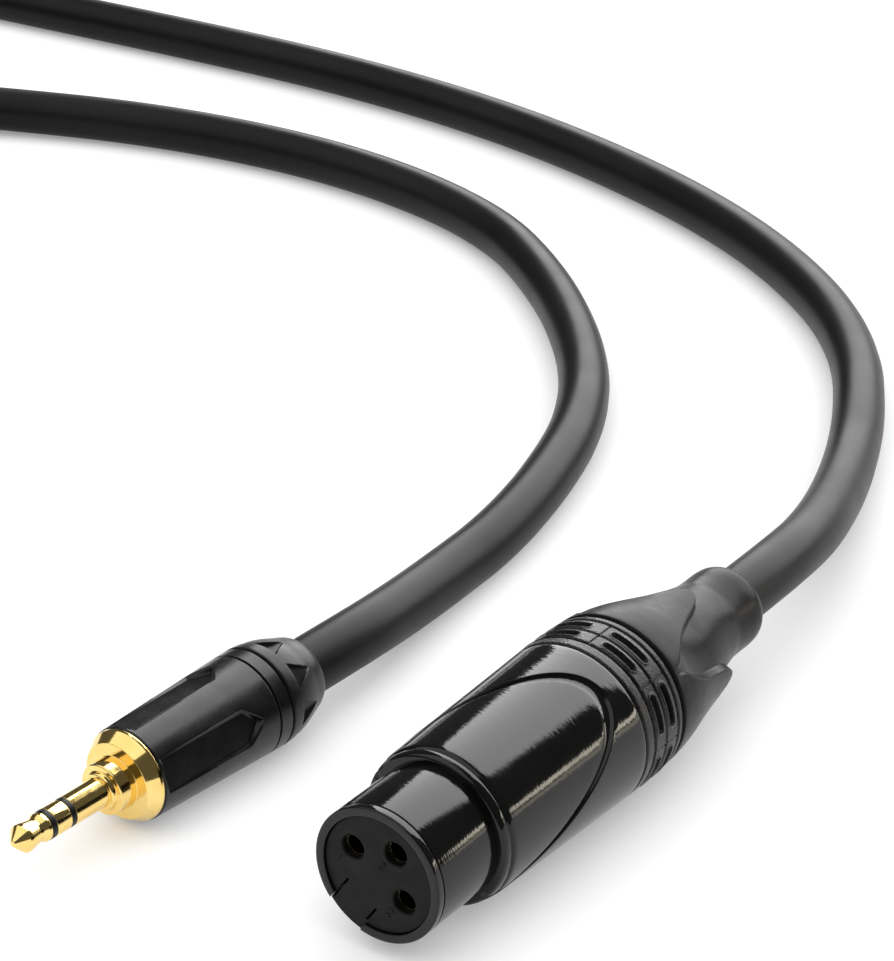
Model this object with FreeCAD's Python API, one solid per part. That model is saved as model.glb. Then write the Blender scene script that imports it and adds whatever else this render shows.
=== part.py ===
import FreeCAD
import Part
import math
import os

# Audio lead: a 3-pin socket connector, a coiled cable and a 3.5 mm three-pole plug. Millimetres.
# The part stands on z = 0 and its origin is under the middle of the socket connector, whose axis
# runs along Y with its face towards -Y. Along each connector t is the distance from its front end,
# r the distance from its axis, and angles run clockwise from straight up, seen from the front end.

V = FreeCAD.Vector
AXIS = V(0, 1, 0)
CENTRE = V(0, 0, 0)
FAR = 30.0

# Cable, and the height of its axis where it lies on the floor and on its own first layer
CABLE_R = 3.6
CABLE_LIFT = 0.05
CABLE_Z = CABLE_R + CABLE_LIFT
UPPER_Z = 3 * CABLE_R + 2 * CABLE_LIFT
CORE_R = 0.55
SCREEN_R = 0.6

# Running and seating clearances
RUN_FIT = 0.05
SEAT_FIT = 0.02
BOND_FIT = 0.03
FACE_GAP = 0.1
CONE_GAP = 0.06

# Socket connector: place and main sizes
XLR_LENGTH = 71.6
XLR_ORIGIN_T = XLR_LENGTH / 2
XLR_KEY_TURN = 34.0
NOSE_R = 7.95
NOSE_LENGTH = 10.5
NOSE_BORE_R = 6.9
NOSE_BEVEL = 0.35
BEAD_T = 0.9
BEAD_WIDTH = 0.25
BEAD_DEPTH = 0.12
LIP_FOOT_R = 8.6
LIP_EDGE_R = 9.03
LIP_EDGE = 0.33
LIP_R = 9.22
LIP_LENGTH = 1.1
SHELL_FRONT_R = 9.42
SHELL_FRONT_T = 14.0
SHELL_REAR_R = 10.11
SHELL_LENGTH = 37.0
SHELL_EDGE = 0.4
SPIGOT_R = 8.6
SPIGOT_LENGTH = 6.0
SPIGOT_BEVEL = 0.4
REAR_BORE_R = 7.4

# Swept groove round the shell: an inclined slice
GROOVE_MID_T = 13.0
GROOVE_REACH = 20.0
GROOVE_TURN = 2.0
GROOVE_WIDTH = 1.8
GROOVE_DEPTH = 0.4

# Contact carrier
INSERT_FRONT_T = 0.3
INSERT_REAR_T = 27.0
INSERT_EDGE = 0.15
KEY_WAY_HALF = 2.35
KEY_RIB_HALF = KEY_WAY_HALF - RUN_FIT
KEY_RIB_REAR_T = 6.2
FACE_SLOT_DEPTH = 2.0
FACE_SLOT_WIDTH = 0.28
FACE_SLOT_LONG = (0.35, 4.2)
FACE_SLOT_SHORT = (2.0, 4.2)
CHANNEL_HALF = 2.4
CHANNEL_FRONT_T = 6.5
CHANNEL_FLOOR_Z = -4.2
CHANNEL_ROOF_Z = -8.3

# Contacts
CONTACT_CIRCLE_R = 3.95
CONTACT_BORE_R = 1.23
CONTACT_R = 1.5
CONTACT_FRONT_T = 1.2
CONTACT_BARREL_END_T = 12.0
CONTACT_MOUTH_R = 1.4
STEM_R = 1.3
CUP_R = 1.4
CUP_BORE_R = 0.9
CUP_END_T = 30.5
CUP_BORE_DEPTH = 3.0
CUP_OPEN_LENGTH = 2.0
CONTACT_SLIT = 0.4
CONTACT_SLIT_LENGTH = 7.0
CONTACT_ANGLES = {"xlr_contact_1": -90.0, "xlr_contact_2": 90.0, "xlr_contact_3": 0.0}

# Latch
PIVOT_T = 24.5
PIVOT_Z = -5.4
PIVOT_PIN_R = 0.5
PIVOT_PIN_HALF = 3.3
EYE_R = 1.0
LEVER_HALF = 1.8
LEVER_FRONT_T = 7.6
LEVER_IN_Z = -6.85
LEVER_OUT_Z = -7.95
HOOK_Z = -8.7
HOOK_FRONT_T = 7.9
HOOK_CREST_T = 8.9
HOOK_BACK_T = 9.2
NECK_LENGTH = 2.5
BUTTON_HALF = 3.0
BUTTON_FRONT_T = 13.5
BUTTON_REAR_T = 20.5
BUTTON_R = 10.4
BUTTON_EDGE = 0.5
BUTTON_GROOVES = 3
WINDOW_SIDE_GAP = 0.3
WINDOW_FRONT_GAP = 0.7
WINDOW_REAR_GAP = 0.4
LEAF_HALF = 1.2
LEAF_THICK = 0.25
LEAF_FOOT_FRONT_T = 18.0
LEAF_FOOT_REAR_T = 21.0
LEAF_TIP_T = 11.5

# Earth tab between contact 1 and the shell
TAB_THICK = 0.3
TAB_HALF = 1.0
TAB_RING_R = 2.1
TAB_LENGTH = 3.0

# Cable clamp
CHUCK_FRONT_T = 35.5
CHUCK_R = 6.2
CHUCK_CONE_T = 41.0
CHUCK_REAR_T = 49.5
CHUCK_REAR_R = CABLE_R + 1.0
CHUCK_SLITS = 4
CHUCK_SLIT = 0.8
CHUCK_SLIT_TURN = 45.0
WING_R = 7.9
WING_HALF = 1.0
WING_WAY_GAP = 0.1
WING_FRONT_T = 36.0
WING_REAR_T = 39.0

# Screw collar
COLLAR_R = 10.13
XLR_AXIS_Z = COLLAR_R
COLLAR_FRONT_R = 9.8
BEAD_BEVEL = 0.35
RIM_R = 10.05
RIM_BEVEL = 0.2
COLLAR_BEAD_END_T = 38.7
COLLAR_SPLIT_T = 41.0
COLLAR_BAND_END_T = 43.5
COLLAR_RIM_T = 43.8
COLLAR_RIM_END_T = 44.65
COLLAR_LINE = 0.2
COLLAR_CELLS = 8
COLLAR_CELL_TURN = 5.5
SLOT_DEPTH = 0.5
SLOT_HALF = 0.4
REAR_SLOT_T = 42.2
REAR_SLOT_FROM = 4.0
FRONT_SLOT_T = 39.9
FRONT_SLOT_FROM = 14.0
SLOT_TO = 33.0
SKIRT_END_T = 43.4
RUBBER_T = 45.3
RUBBER_LINE_R = 9.5
SLEEVE_LENGTH = XLR_LENGTH - RUBBER_T
COLLAR_TAIL_R = 8.6
COLLAR_TAIL_END_R = CABLE_R + 2.0
COLLAR_TAIL_END_T = RUBBER_T + 0.485 * SLEEVE_LENGTH
COLLAR_TAIL_BORE_R = CABLE_R + 0.4

# Rubber sleeve: stations along it are shares of its length, and the barrel's radii are its wall
# round the cable
SLEEVE_FRONT_R = 9.98
SLEEVE_MID = 0.27
SLEEVE_MID_R = 8.95
LOBE_SKIN_END = 0.58
LOBE_SKIN_END_R = 7.75
BARREL_BORE_R = CABLE_R + 0.15
BARREL_MOUTH = 0.8
BARREL_MOUTH_R = CABLE_R + 0.4
BARREL_SIDE = [(0.045, 6.1), ((0.236, 4.7), (0.464, 3.35)), ((0.665, 2.38), (0.845, 1.9)), (0.935, 1.65),
               (0.982, 1.25), (1.0, 0.6)]
LOBES = 4
LOBE_TURN = 12.0
LOBE_SIDE = [(7.0, 0.072), (5.64, 0.143), (4.15, 0.236), (2.87, 0.371), (1.75, 0.498), (0.0, 0.555)]

# Cable end in the socket connector
XLR_TAIL_T = 36.0
XLR_TAIL_END_T = XLR_LENGTH - 1.8
CORE_SPREAD = 1.7
WIRE_LEAD = 1.0
WIRE_BEND_T = 31.5
WIRE_SEAT = 0.5

# Plug: place and main sizes
TRS_SPIGOT_R = CABLE_R + 0.9
TRS_SHELL_R = TRS_SPIGOT_R + 1.2
TRS_SHELL_REAR_R = TRS_SHELL_R + 0.7
TRS_AXIS_Z = TRS_SHELL_REAR_R
TRS_TIP = V(-39.07, -48.62, TRS_AXIS_Z)
TRS_TURN = -3.39
TRS_PIN_R = 1.75
TRS_TIP_NOSE = [(0.0, 0.35), ((0.6, 1.15), (1.6, 1.7)), (2.3, 1.6), (3.1, 1.45)]
TRS_TIP_END_R = 1.58
TRS_TIP_END_T = 4.6
TRS_TIP_LAND = 0.25
TRS_RING_T = 5.2
TRS_RING_END_T = 7.6
TRS_SLEEVE_T = 8.2
TRS_STEP_T = 13.4
TRS_STEP_R = 2.4
TRS_BOSS_T = 14.6
TRS_BOSS_R = 3.2
TRS_DISC_T = 16.3
TRS_DISC_R = 4.7
TRS_BEVEL_T = 17.7
TRS_FLANGE_R = TRS_SHELL_R - 0.1
TRS_FLANGE_END_T = 18.1
TRS_SPIGOT_END_T = 25.0
TRS_EDGE = 0.2

# Plug: nested rod and tubes, lugs and earth clamp
ROD_R = 0.45
TUBE_WALL = 0.25
LUG_THICK = 0.3
LUG_HALF = 0.9
RING_LUG_R = 2.2
RING_LUG_Z = 3.0
RING_LUG_END_T = 29.5
TIP_LUG_R = 1.6
TIP_LUG_GAP = 0.6
TIP_LUG_Z = 2.4
TIP_LUG_END_T = 30.0
RIVET = 0.4
WASHER_R = 3.6
WASHER_THICK = 0.6
CLAMP_PLATE = 0.4
CLAMP_R = CABLE_R + CLAMP_PLATE
CLAMP_STRIP_HALF = 1.0
CLAMP_T = 33.4
CLAMP_REAR_T = 36.0
CLAMP_OPEN_HALF = 1.6
TRS_SCREEN_R = 0.5
TRS_TAIL_T = 33.0
TRS_TAIL_END_T = 45.0
TRS_WIRE_T = 28.3

# Plug: liner, shell and cap
LINER_R = TRS_SPIGOT_R - RUN_FIT
LINER_BORE_R = CLAMP_R + FACE_GAP
LINER_T = 25.6
LINER_REAR_T = 36.2
TRS_SHELL_END_T = 39.0
TRS_SHELL_EDGE = 0.15
TRS_LINE_T = 36.8
TRS_LINE_WIDTH = 0.3
TRS_LINE_DEPTH = 0.25
CAP_GAP = 0.25
CAP_SPIGOT_T = 36.5
CAP_ROUND_T = 40.3
CAP_SHOULDER_T = 43.0
CAP_SHOULDER_R = TRS_SHELL_REAR_R - 0.58
CAP_NECK_T = 45.6
CAP_NECK_R = CABLE_R + 1.0
CAP_END_BEVEL = 0.8
CAP_END_EDGE_R = CABLE_R + 0.62
CAP_END_R = CABLE_R + 0.35
CAP_BORE_R = CABLE_R + 0.15
TRS_LENGTH = 47.2
FLUTES = 4
FLUTE_TURN = -16.0
FLUTE_HALF = 2.25
FLUTE_FRONT_T = 18.55
FLUTE_SIDE_T = 32.0
FLUTE_POINT_T = 34.3
FLUTE_FLOOR_R = TRS_SHELL_R - 0.43
FLUTE_TAPER = 1.3
NOTCHES = 8
NOTCH_TURN = 5.0
NOTCH_T = 41.0
NOTCH_POINT_T = 44.3
NOTCH_HALF = 1.5
NOTCH_FLOOR_R = TRS_SHELL_REAR_R - 0.9

# Cable routes: the straight lead behind each cable end, then corners to the coil, chosen to follow
# the picture
XLR_LEAD = 12.5
TRS_LEAD = 10.8
XLR_CORNERS = [
    V(-2.15, 60.3, 8.3), V(-7.0, 75.1, 5.8), V(-12.15, 88.4, 4.1),
    V(-18.2, 102.0, CABLE_Z), V(-27.7, 118.6, CABLE_Z), V(-41.7, 133.8, CABLE_Z),
    V(-62.5, 148.2, CABLE_Z), V(-88.5, 159.6, CABLE_Z), V(-120.8, 168.1, CABLE_Z),
    V(-156.4, 171.5, CABLE_Z), V(-194.1, 170.0, CABLE_Z), V(-232.6, 167.1, CABLE_Z),
    V(-270.6, 164.7, CABLE_Z),
]
TRS_CORNERS = [
    V(-36.65, 18.2, 5.2), V(-38.25, 31.0, 3.9), V(-39.2, 44.3, CABLE_Z),
    V(-42.3, 59.7, CABLE_Z), V(-48.1, 77.9, CABLE_Z), V(-58.6, 95.5, CABLE_Z), V(-76.6, 114.6, CABLE_Z),
    V(-98.6, 130.6, CABLE_Z), V(-130.6, 137.7, CABLE_Z), V(-165.8, 134.8, CABLE_Z), V(-197.6, 123.2, 3.9),
    V(-215.6, 108.5, 6.2), V(-231.1, 93.5, 10.0), V(-242.7, 81.6, UPPER_Z),
]
ARC_SHARE = 0.45

# Coil of the length that the picture doesn't show, and its tie
COIL_CENTRE = V(-275.6, 115.6, 0)
COIL_MID_R = 40.45
COIL_HALF_WIDTH = 12.1
COIL_HEIGHT = UPPER_Z + CABLE_R
COIL_BEVEL = 2.2
TIE_THICK = 0.8
TIE_WIDTH = 12.0
TIE_ANGLE = 200.0


def outline_wire(start, steps):
    """Closed outline of (t, r) points. A step is a point, or a pair (through, to) for an arc."""
    edges = []
    here = V(start[1], start[0], 0)
    first = here
    for step in steps:
        if isinstance(step[0], tuple):
            there = V(step[1][1], step[1][0], 0)
            edges.append(Part.Arc(here, V(step[0][1], step[0][0], 0), there).toShape())
        else:
            there = V(step[1], step[0], 0)
            edges.append(Part.LineSegment(here, there).toShape())
        here = there
    if (here - first).Length > 1e-6:
        edges.append(Part.LineSegment(here, first).toShape())
    return Part.Wire(edges)


def turned(start, steps):
    """Solid turned about the connector's axis from an outline."""
    return Part.Face(outline_wire(start, steps)).revolve(CENTRE, AXIS, 360)


def disc(radius, t_from, t_to):
    return Part.makeCylinder(radius, t_to - t_from, V(0, t_from, 0), AXIS)


def ring(outer_r, inner_r, t_from, t_to):
    return disc(outer_r, t_from, t_to).cut(disc(inner_r, t_from - 1, t_to + 1))


def block(x_from, x_to, t_from, t_to, z_from, z_to):
    return Part.makeBox(x_to - x_from, t_to - t_from, z_to - z_from, V(x_from, t_from, z_from))


def turn(shape, angle):
    """Copy turned clockwise about the axis, seen from the front end."""
    return shape.rotated(CENTRE, AXIS, angle)


def around(shape, count, first_angle):
    """Copies of a shape spaced evenly about the axis."""
    return [turn(shape, first_angle + 360.0 / count * k) for k in range(count)]


def plan_prism(corners, z_from, z_to):
    """Prism whose outline is given as (x, t) corners, raised from z_from to z_to."""
    points = [V(x, t, z_from) for x, t in corners]
    return Part.Face(Part.makePolygon(points + points[:1])).extrude(V(0, 0, z_to - z_from))


def side_prism(corners, half_width):
    """Prism whose outline is given as (t, z) corners, as wide on each side of x = 0."""
    points = [V(-half_width, t, z) for t, z in corners]
    return Part.Face(Part.makePolygon(points + points[:1])).extrude(V(2 * half_width, 0, 0))


def wire_run(radius, points):
    """Round wire through the points, with a ball at each bend."""
    pieces = []
    for here, there in zip(points, points[1:]):
        pieces.append(Part.makeCylinder(radius, (there - here).Length, here, there - here))
    for bend in points[1:-1]:
        pieces.append(Part.makeSphere(radius, bend))
    return pieces[0].multiFuse(pieces[1:]) if len(pieces) > 1 else pieces[0]


def place_xlr(shape, keyed=True):
    """Put a piece of the socket connector in the part's frame."""
    placed = turn(shape, XLR_KEY_TURN) if keyed else shape.copy()
    placed.translate(V(0, -XLR_ORIGIN_T, XLR_AXIS_Z))
    return placed


def place_trs(shape):
    """Put a piece of the plug in the part's frame."""
    placed = shape.rotated(CENTRE, V(0, 0, 1), TRS_TURN)
    placed.translate(TRS_TIP)
    return placed


def contact_place(angle):
    """Middle of a contact, from its angle on the contact circle."""
    turned_by = math.radians(angle)
    return V(CONTACT_CIRCLE_R * math.sin(turned_by), 0, CONTACT_CIRCLE_R * math.cos(turned_by))


def shell_steps(inset):
    """Outer line of the shell from its lip to its rear edge, moved inwards by inset."""
    return [
        (NOSE_LENGTH, LIP_FOOT_R - inset),
        (NOSE_LENGTH + LIP_EDGE, LIP_EDGE_R - inset),
        (NOSE_LENGTH + LIP_LENGTH, LIP_R - inset),
        (SHELL_FRONT_T, SHELL_FRONT_R - inset),
        (SHELL_LENGTH - SHELL_EDGE, SHELL_REAR_R - inset),
    ]


def swept_groove():
    """Cutter of the groove that crosses the shell like an inclined ring and leaves it at the lip."""
    slope = math.atan2(GROOVE_REACH, (SHELL_FRONT_R + SHELL_REAR_R) / 2)
    thickness = GROOVE_WIDTH * math.cos(slope)
    slab = Part.makeBox(4 * FAR, thickness, 8 * FAR, V(-2 * FAR, -thickness / 2, -4 * FAR))
    slab.rotate(CENTRE, V(1, 0, 0), -math.degrees(slope))
    slab.translate(V(0, GROOVE_MID_T, 0))
    core = turned((NOSE_LENGTH - GROOVE_DEPTH, 0),
                  [(NOSE_LENGTH - GROOVE_DEPTH, LIP_FOOT_R - GROOVE_DEPTH)] + shell_steps(GROOVE_DEPTH)
                  + [(SHELL_LENGTH, SHELL_REAR_R - GROOVE_DEPTH), (SHELL_LENGTH, 0)])
    zone = disc(FAR, NOSE_LENGTH - GROOVE_DEPTH / 2, SHELL_LENGTH)
    return turn(slab.common(zone).cut(core), GROOVE_TURN)


def make_housing():
    bead_end = BEAD_T + BEAD_WIDTH
    spigot_end = SHELL_LENGTH + SPIGOT_LENGTH
    body = turned(
        (0, NOSE_BORE_R),
        [(0, NOSE_R - NOSE_BEVEL), (NOSE_BEVEL, NOSE_R), (BEAD_T, NOSE_R), (BEAD_T, NOSE_R - BEAD_DEPTH),
         (bead_end, NOSE_R - BEAD_DEPTH), (bead_end, NOSE_R), (NOSE_LENGTH, NOSE_R)]
        + shell_steps(0)
        + [(SHELL_LENGTH, SHELL_REAR_R - SHELL_EDGE), (SHELL_LENGTH, SPIGOT_R),
           (spigot_end - SPIGOT_BEVEL, SPIGOT_R), (spigot_end, SPIGOT_R - SPIGOT_BEVEL),
           (spigot_end, REAR_BORE_R), (INSERT_REAR_T, REAR_BORE_R), (INSERT_REAR_T, NOSE_BORE_R)])
    key_way = block(-KEY_WAY_HALF, KEY_WAY_HALF, -1, NOSE_LENGTH, -FAR, CHANNEL_FLOOR_Z)
    channel = block(-CHANNEL_HALF, CHANNEL_HALF, NOSE_LENGTH - 1, INSERT_REAR_T + 0.5, CHANNEL_ROOF_Z,
                    CHANNEL_FLOOR_Z)
    window_half = BUTTON_HALF + WINDOW_SIDE_GAP
    window = block(-window_half, window_half, BUTTON_FRONT_T - WINDOW_FRONT_GAP,
                   BUTTON_REAR_T + WINDOW_REAR_GAP, -FAR, CHANNEL_FLOOR_Z)
    way_half = WING_HALF + WING_WAY_GAP
    wing_way = block(-FAR, FAR, WING_FRONT_T, spigot_end + 1, -way_half, way_half).common(
        disc(WING_R + WING_WAY_GAP, WING_FRONT_T, spigot_end + 1))
    return body.cut([key_way, channel, window, wing_way, swept_groove()])


def face_slot(x_from, reach):
    """Cutter of a blind slot in the carrier's face, between two distances in from the nose's skin."""
    return block(x_from, x_from + FACE_SLOT_WIDTH, 0, INSERT_FRONT_T + FACE_SLOT_DEPTH, -NOSE_R + reach[0],
                 -NOSE_R + reach[1])


def make_insert():
    body = turned((INSERT_FRONT_T, 0), [
        (INSERT_FRONT_T, NOSE_BORE_R - RUN_FIT - INSERT_EDGE),
        (INSERT_FRONT_T + INSERT_EDGE, NOSE_BORE_R - RUN_FIT),
        (INSERT_REAR_T, NOSE_BORE_R - RUN_FIT), (INSERT_REAR_T, 0)])
    rib = block(-KEY_RIB_HALF, KEY_RIB_HALF, INSERT_FRONT_T, KEY_RIB_REAR_T, -FAR, CHANNEL_FLOOR_Z)
    body = body.fuse(rib.common(disc(NOSE_R - RUN_FIT, INSERT_FRONT_T, KEY_RIB_REAR_T)))
    cutters = [
        block(-CHANNEL_HALF, CHANNEL_HALF, CHANNEL_FRONT_T, INSERT_REAR_T + 1, -FAR, CHANNEL_FLOOR_Z),
        face_slot(-KEY_RIB_HALF, FACE_SLOT_LONG),
        face_slot(KEY_RIB_HALF - FACE_SLOT_WIDTH, FACE_SLOT_SHORT),
    ]
    for angle in CONTACT_ANGLES.values():
        hole = disc(CONTACT_MOUTH_R, 0, INSERT_REAR_T).fuse([
            disc(CONTACT_R + SEAT_FIT, CONTACT_FRONT_T, CONTACT_BARREL_END_T),
            disc(CUP_R + SEAT_FIT, INSERT_REAR_T - FACE_GAP, INSERT_REAR_T + 1)])
        hole.translate(contact_place(angle))
        cutters.append(hole)
    pin_hole_r = PIVOT_PIN_R + SEAT_FIT / 2
    cutters.append(Part.makeCylinder(pin_hole_r, 2 * FAR, V(-FAR, PIVOT_T, PIVOT_Z), V(1, 0, 0)))
    return body.cut(cutters)


def make_contact(angle):
    body = turned((CONTACT_FRONT_T, CONTACT_BORE_R), [
        (CONTACT_FRONT_T, CONTACT_R), (CONTACT_BARREL_END_T, CONTACT_R), (CONTACT_BARREL_END_T, STEM_R),
        (INSERT_REAR_T, STEM_R), (INSERT_REAR_T, CUP_R), (CUP_END_T, CUP_R), (CUP_END_T, CUP_BORE_R),
        (CUP_END_T - CUP_BORE_DEPTH, CUP_BORE_R), (CUP_END_T - CUP_BORE_DEPTH, 0),
        (CONTACT_BARREL_END_T, 0), (CONTACT_BARREL_END_T, CONTACT_BORE_R)])
    slit_end = CONTACT_FRONT_T + CONTACT_SLIT_LENGTH
    slit = block(-FAR, FAR, 0, slit_end, -CONTACT_SLIT / 2, CONTACT_SLIT / 2)
    cup_side = block(-CUP_R, CUP_R, CUP_END_T - CUP_OPEN_LENGTH, CUP_END_T + 1, CUP_BORE_R / 2, FAR)
    contact = body.cut([slit, turn(cup_side, angle)])
    contact.translate(contact_place(angle))
    return contact


def make_ground_tab():
    place = contact_place(CONTACT_ANGLES["xlr_contact_1"])
    rear = INSERT_REAR_T + TAB_THICK
    eye = disc(TAB_RING_R, INSERT_REAR_T, rear)
    eye.translate(place)
    hole = disc(CUP_R + SEAT_FIT, INSERT_REAR_T - 1, rear + 1)
    hole.translate(place)
    outer_x = math.sqrt((REAR_BORE_R - RUN_FIT) ** 2 - TAB_HALF ** 2)
    arm = block(-outer_x, place.x, INSERT_REAR_T, rear, -TAB_HALF, TAB_HALF)
    leg_end = INSERT_REAR_T + TAB_LENGTH
    leg = block(-outer_x, -outer_x + TAB_THICK, INSERT_REAR_T, leg_end, -TAB_HALF, TAB_HALF)
    return eye.fuse([arm, leg]).cut(hole)


def make_latch():
    bar = block(-LEVER_HALF, LEVER_HALF, LEVER_FRONT_T, PIVOT_T, LEVER_OUT_Z, LEVER_IN_Z)
    hook = side_prism([(HOOK_FRONT_T, LEVER_OUT_Z), (HOOK_CREST_T, HOOK_Z), (HOOK_BACK_T, HOOK_Z),
                       (HOOK_BACK_T, LEVER_OUT_Z)], LEVER_HALF)
    neck = block(-LEVER_HALF, LEVER_HALF, PIVOT_T - NECK_LENGTH, PIVOT_T, LEVER_IN_Z, PIVOT_Z)
    eye = Part.makeCylinder(EYE_R, 2 * LEVER_HALF, V(-LEVER_HALF, PIVOT_T, PIVOT_Z), V(1, 0, 0))
    button = block(-BUTTON_HALF, BUTTON_HALF, BUTTON_FRONT_T, BUTTON_REAR_T, -BUTTON_R, CHANNEL_ROOF_Z)
    button = button.common(disc(BUTTON_R, BUTTON_FRONT_T, BUTTON_REAR_T))
    stem = block(-LEVER_HALF, LEVER_HALF, BUTTON_FRONT_T, BUTTON_REAR_T, CHANNEL_ROOF_Z, LEVER_OUT_Z)
    ridge_pitch = (BUTTON_REAR_T - BUTTON_FRONT_T) / (BUTTON_GROOVES + 1)
    grooves = [block(-FAR, FAR, BUTTON_FRONT_T + ridge_pitch * k - BUTTON_EDGE / 2,
                     BUTTON_FRONT_T + ridge_pitch * k + BUTTON_EDGE / 2, -FAR, -BUTTON_R + BUTTON_EDGE)
               for k in range(1, BUTTON_GROOVES + 1)]
    bore = Part.makeCylinder(PIVOT_PIN_R + RUN_FIT, 2 * FAR, V(-FAR, PIVOT_T, PIVOT_Z), V(1, 0, 0))
    return bar.fuse([hook, neck, eye, stem, button]).cut(grooves + [bore])


def make_latch_pin():
    end = V(-PIVOT_PIN_HALF, PIVOT_T, PIVOT_Z)
    return Part.makeCylinder(PIVOT_PIN_R, 2 * PIVOT_PIN_HALF, end, V(1, 0, 0))


def make_latch_spring():
    foot_z = CHANNEL_FLOOR_Z
    tip_z = LEVER_IN_Z + RUN_FIT + LEAF_THICK
    return side_prism([
        (LEAF_FOOT_REAR_T, foot_z), (LEAF_FOOT_FRONT_T, foot_z), (LEAF_TIP_T, tip_z),
        (LEAF_TIP_T - 1, tip_z), (LEAF_TIP_T - 1, tip_z - LEAF_THICK), (LEAF_TIP_T, tip_z - LEAF_THICK),
        (LEAF_FOOT_FRONT_T, foot_z - LEAF_THICK), (LEAF_FOOT_REAR_T, foot_z - LEAF_THICK)], LEAF_HALF)


def chuck_cone_r(t):
    """Radius of the clamp's cone."""
    return CHUCK_R + (CHUCK_REAR_R - CHUCK_R) * (t - CHUCK_CONE_T) / (CHUCK_REAR_T - CHUCK_CONE_T)


def make_chuck():
    bore = CABLE_R + RUN_FIT
    body = turned((CHUCK_FRONT_T, bore), [
        (CHUCK_FRONT_T, CHUCK_R), (CHUCK_CONE_T, CHUCK_R), (CHUCK_REAR_T, CHUCK_REAR_R),
        (CHUCK_REAR_T, bore)])
    wings = block(-WING_R, WING_R, WING_FRONT_T, WING_REAR_T, -WING_HALF, WING_HALF)
    wings = wings.common(ring(WING_R, (bore + CHUCK_R) / 2, WING_FRONT_T, WING_REAR_T))
    slit = block(0, FAR, CHUCK_CONE_T + CHUCK_SLIT, CHUCK_REAR_T + 1, -CHUCK_SLIT / 2, CHUCK_SLIT / 2)
    return body.fuse(wings).cut(around(slit, CHUCK_SLITS, CHUCK_SLIT_TURN))


def arc_slot(t_mid, angle_from):
    """Cutter of one slot of the collar, from one angle to the next along the band."""
    floor = COLLAR_R - SLOT_DEPTH
    front = t_mid - SLOT_HALF
    rear = t_mid + SLOT_HALF
    face = Part.Face(Part.makePolygon([
        V(0, front, floor), V(0, rear, floor), V(0, rear, COLLAR_R + 1), V(0, front, COLLAR_R + 1),
        V(0, front, floor)]))
    return turn(face.revolve(CENTRE, AXIS, SLOT_TO - angle_from), angle_from)


def make_boot_collar():
    front = SHELL_LENGTH + FACE_GAP
    skirt_r = SPIGOT_R + RUN_FIT
    line_r = COLLAR_R - COLLAR_LINE
    cone_end = CHUCK_REAR_T + FACE_GAP
    body = turned((front, skirt_r), [
        (front, COLLAR_FRONT_R), (front + BEAD_BEVEL, COLLAR_R), (COLLAR_BEAD_END_T - BEAD_BEVEL, COLLAR_R),
        (COLLAR_BEAD_END_T, COLLAR_FRONT_R),
        (COLLAR_BEAD_END_T + COLLAR_LINE, COLLAR_FRONT_R),
        (COLLAR_BEAD_END_T + COLLAR_LINE, COLLAR_R),
        (COLLAR_SPLIT_T, COLLAR_R), (COLLAR_SPLIT_T, line_r),
        (COLLAR_SPLIT_T + COLLAR_LINE, line_r), (COLLAR_SPLIT_T + COLLAR_LINE, COLLAR_R),
        (COLLAR_BAND_END_T, COLLAR_R), (COLLAR_BAND_END_T, COLLAR_FRONT_R),
        (COLLAR_RIM_T, COLLAR_FRONT_R), (COLLAR_RIM_T + RIM_BEVEL, RIM_R),
        (COLLAR_RIM_END_T - RIM_BEVEL, RIM_R), (COLLAR_RIM_END_T, COLLAR_FRONT_R),
        (COLLAR_RIM_END_T, RUBBER_LINE_R), (RUBBER_T, RUBBER_LINE_R), (RUBBER_T, COLLAR_TAIL_R),
        (COLLAR_TAIL_END_T, COLLAR_TAIL_END_R), (COLLAR_TAIL_END_T, COLLAR_TAIL_BORE_R),
        (cone_end, COLLAR_TAIL_BORE_R), (cone_end, chuck_cone_r(CHUCK_REAR_T) + CONE_GAP),
        (SKIRT_END_T, chuck_cone_r(SKIRT_END_T) + CONE_GAP), (SKIRT_END_T, skirt_r)])
    band_front = COLLAR_BEAD_END_T + COLLAR_LINE
    split = block(-COLLAR_LINE / 2, COLLAR_LINE / 2, band_front, COLLAR_BAND_END_T, line_r, FAR)
    cutters = around(split, COLLAR_CELLS, COLLAR_CELL_TURN)
    cutters += around(arc_slot(REAR_SLOT_T, REAR_SLOT_FROM), COLLAR_CELLS, COLLAR_CELL_TURN)
    cutters += around(arc_slot(FRONT_SLOT_T, FRONT_SLOT_FROM), COLLAR_CELLS, COLLAR_CELL_TURN)
    return body.cut(cutters)


def sleeve_t(share):
    """Distance from the connector's face to a station of the rubber sleeve."""
    return RUBBER_T + share * SLEEVE_LENGTH


def barrel_point(point):
    return (sleeve_t(point[0]), CABLE_R + point[1])


def lobe_prism():
    """Prism of one lobe's outline, wide at the front and ending in a rounded tongue."""
    side = [V(x, sleeve_t(share), 0) for x, share in LOBE_SIDE]
    other = [V(-corner.x, corner.y, 0) for corner in reversed(side[:-1])]
    curve = Part.BSplineCurve()
    curve.interpolate(side + other)
    front = RUBBER_T - 1
    base = Part.makePolygon([other[-1], V(other[-1].x, front, 0), V(side[0].x, front, 0), side[0]])
    return Part.Face(Part.Wire([curve.toShape()] + base.Edges)).extrude(V(0, 0, FAR))


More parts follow.
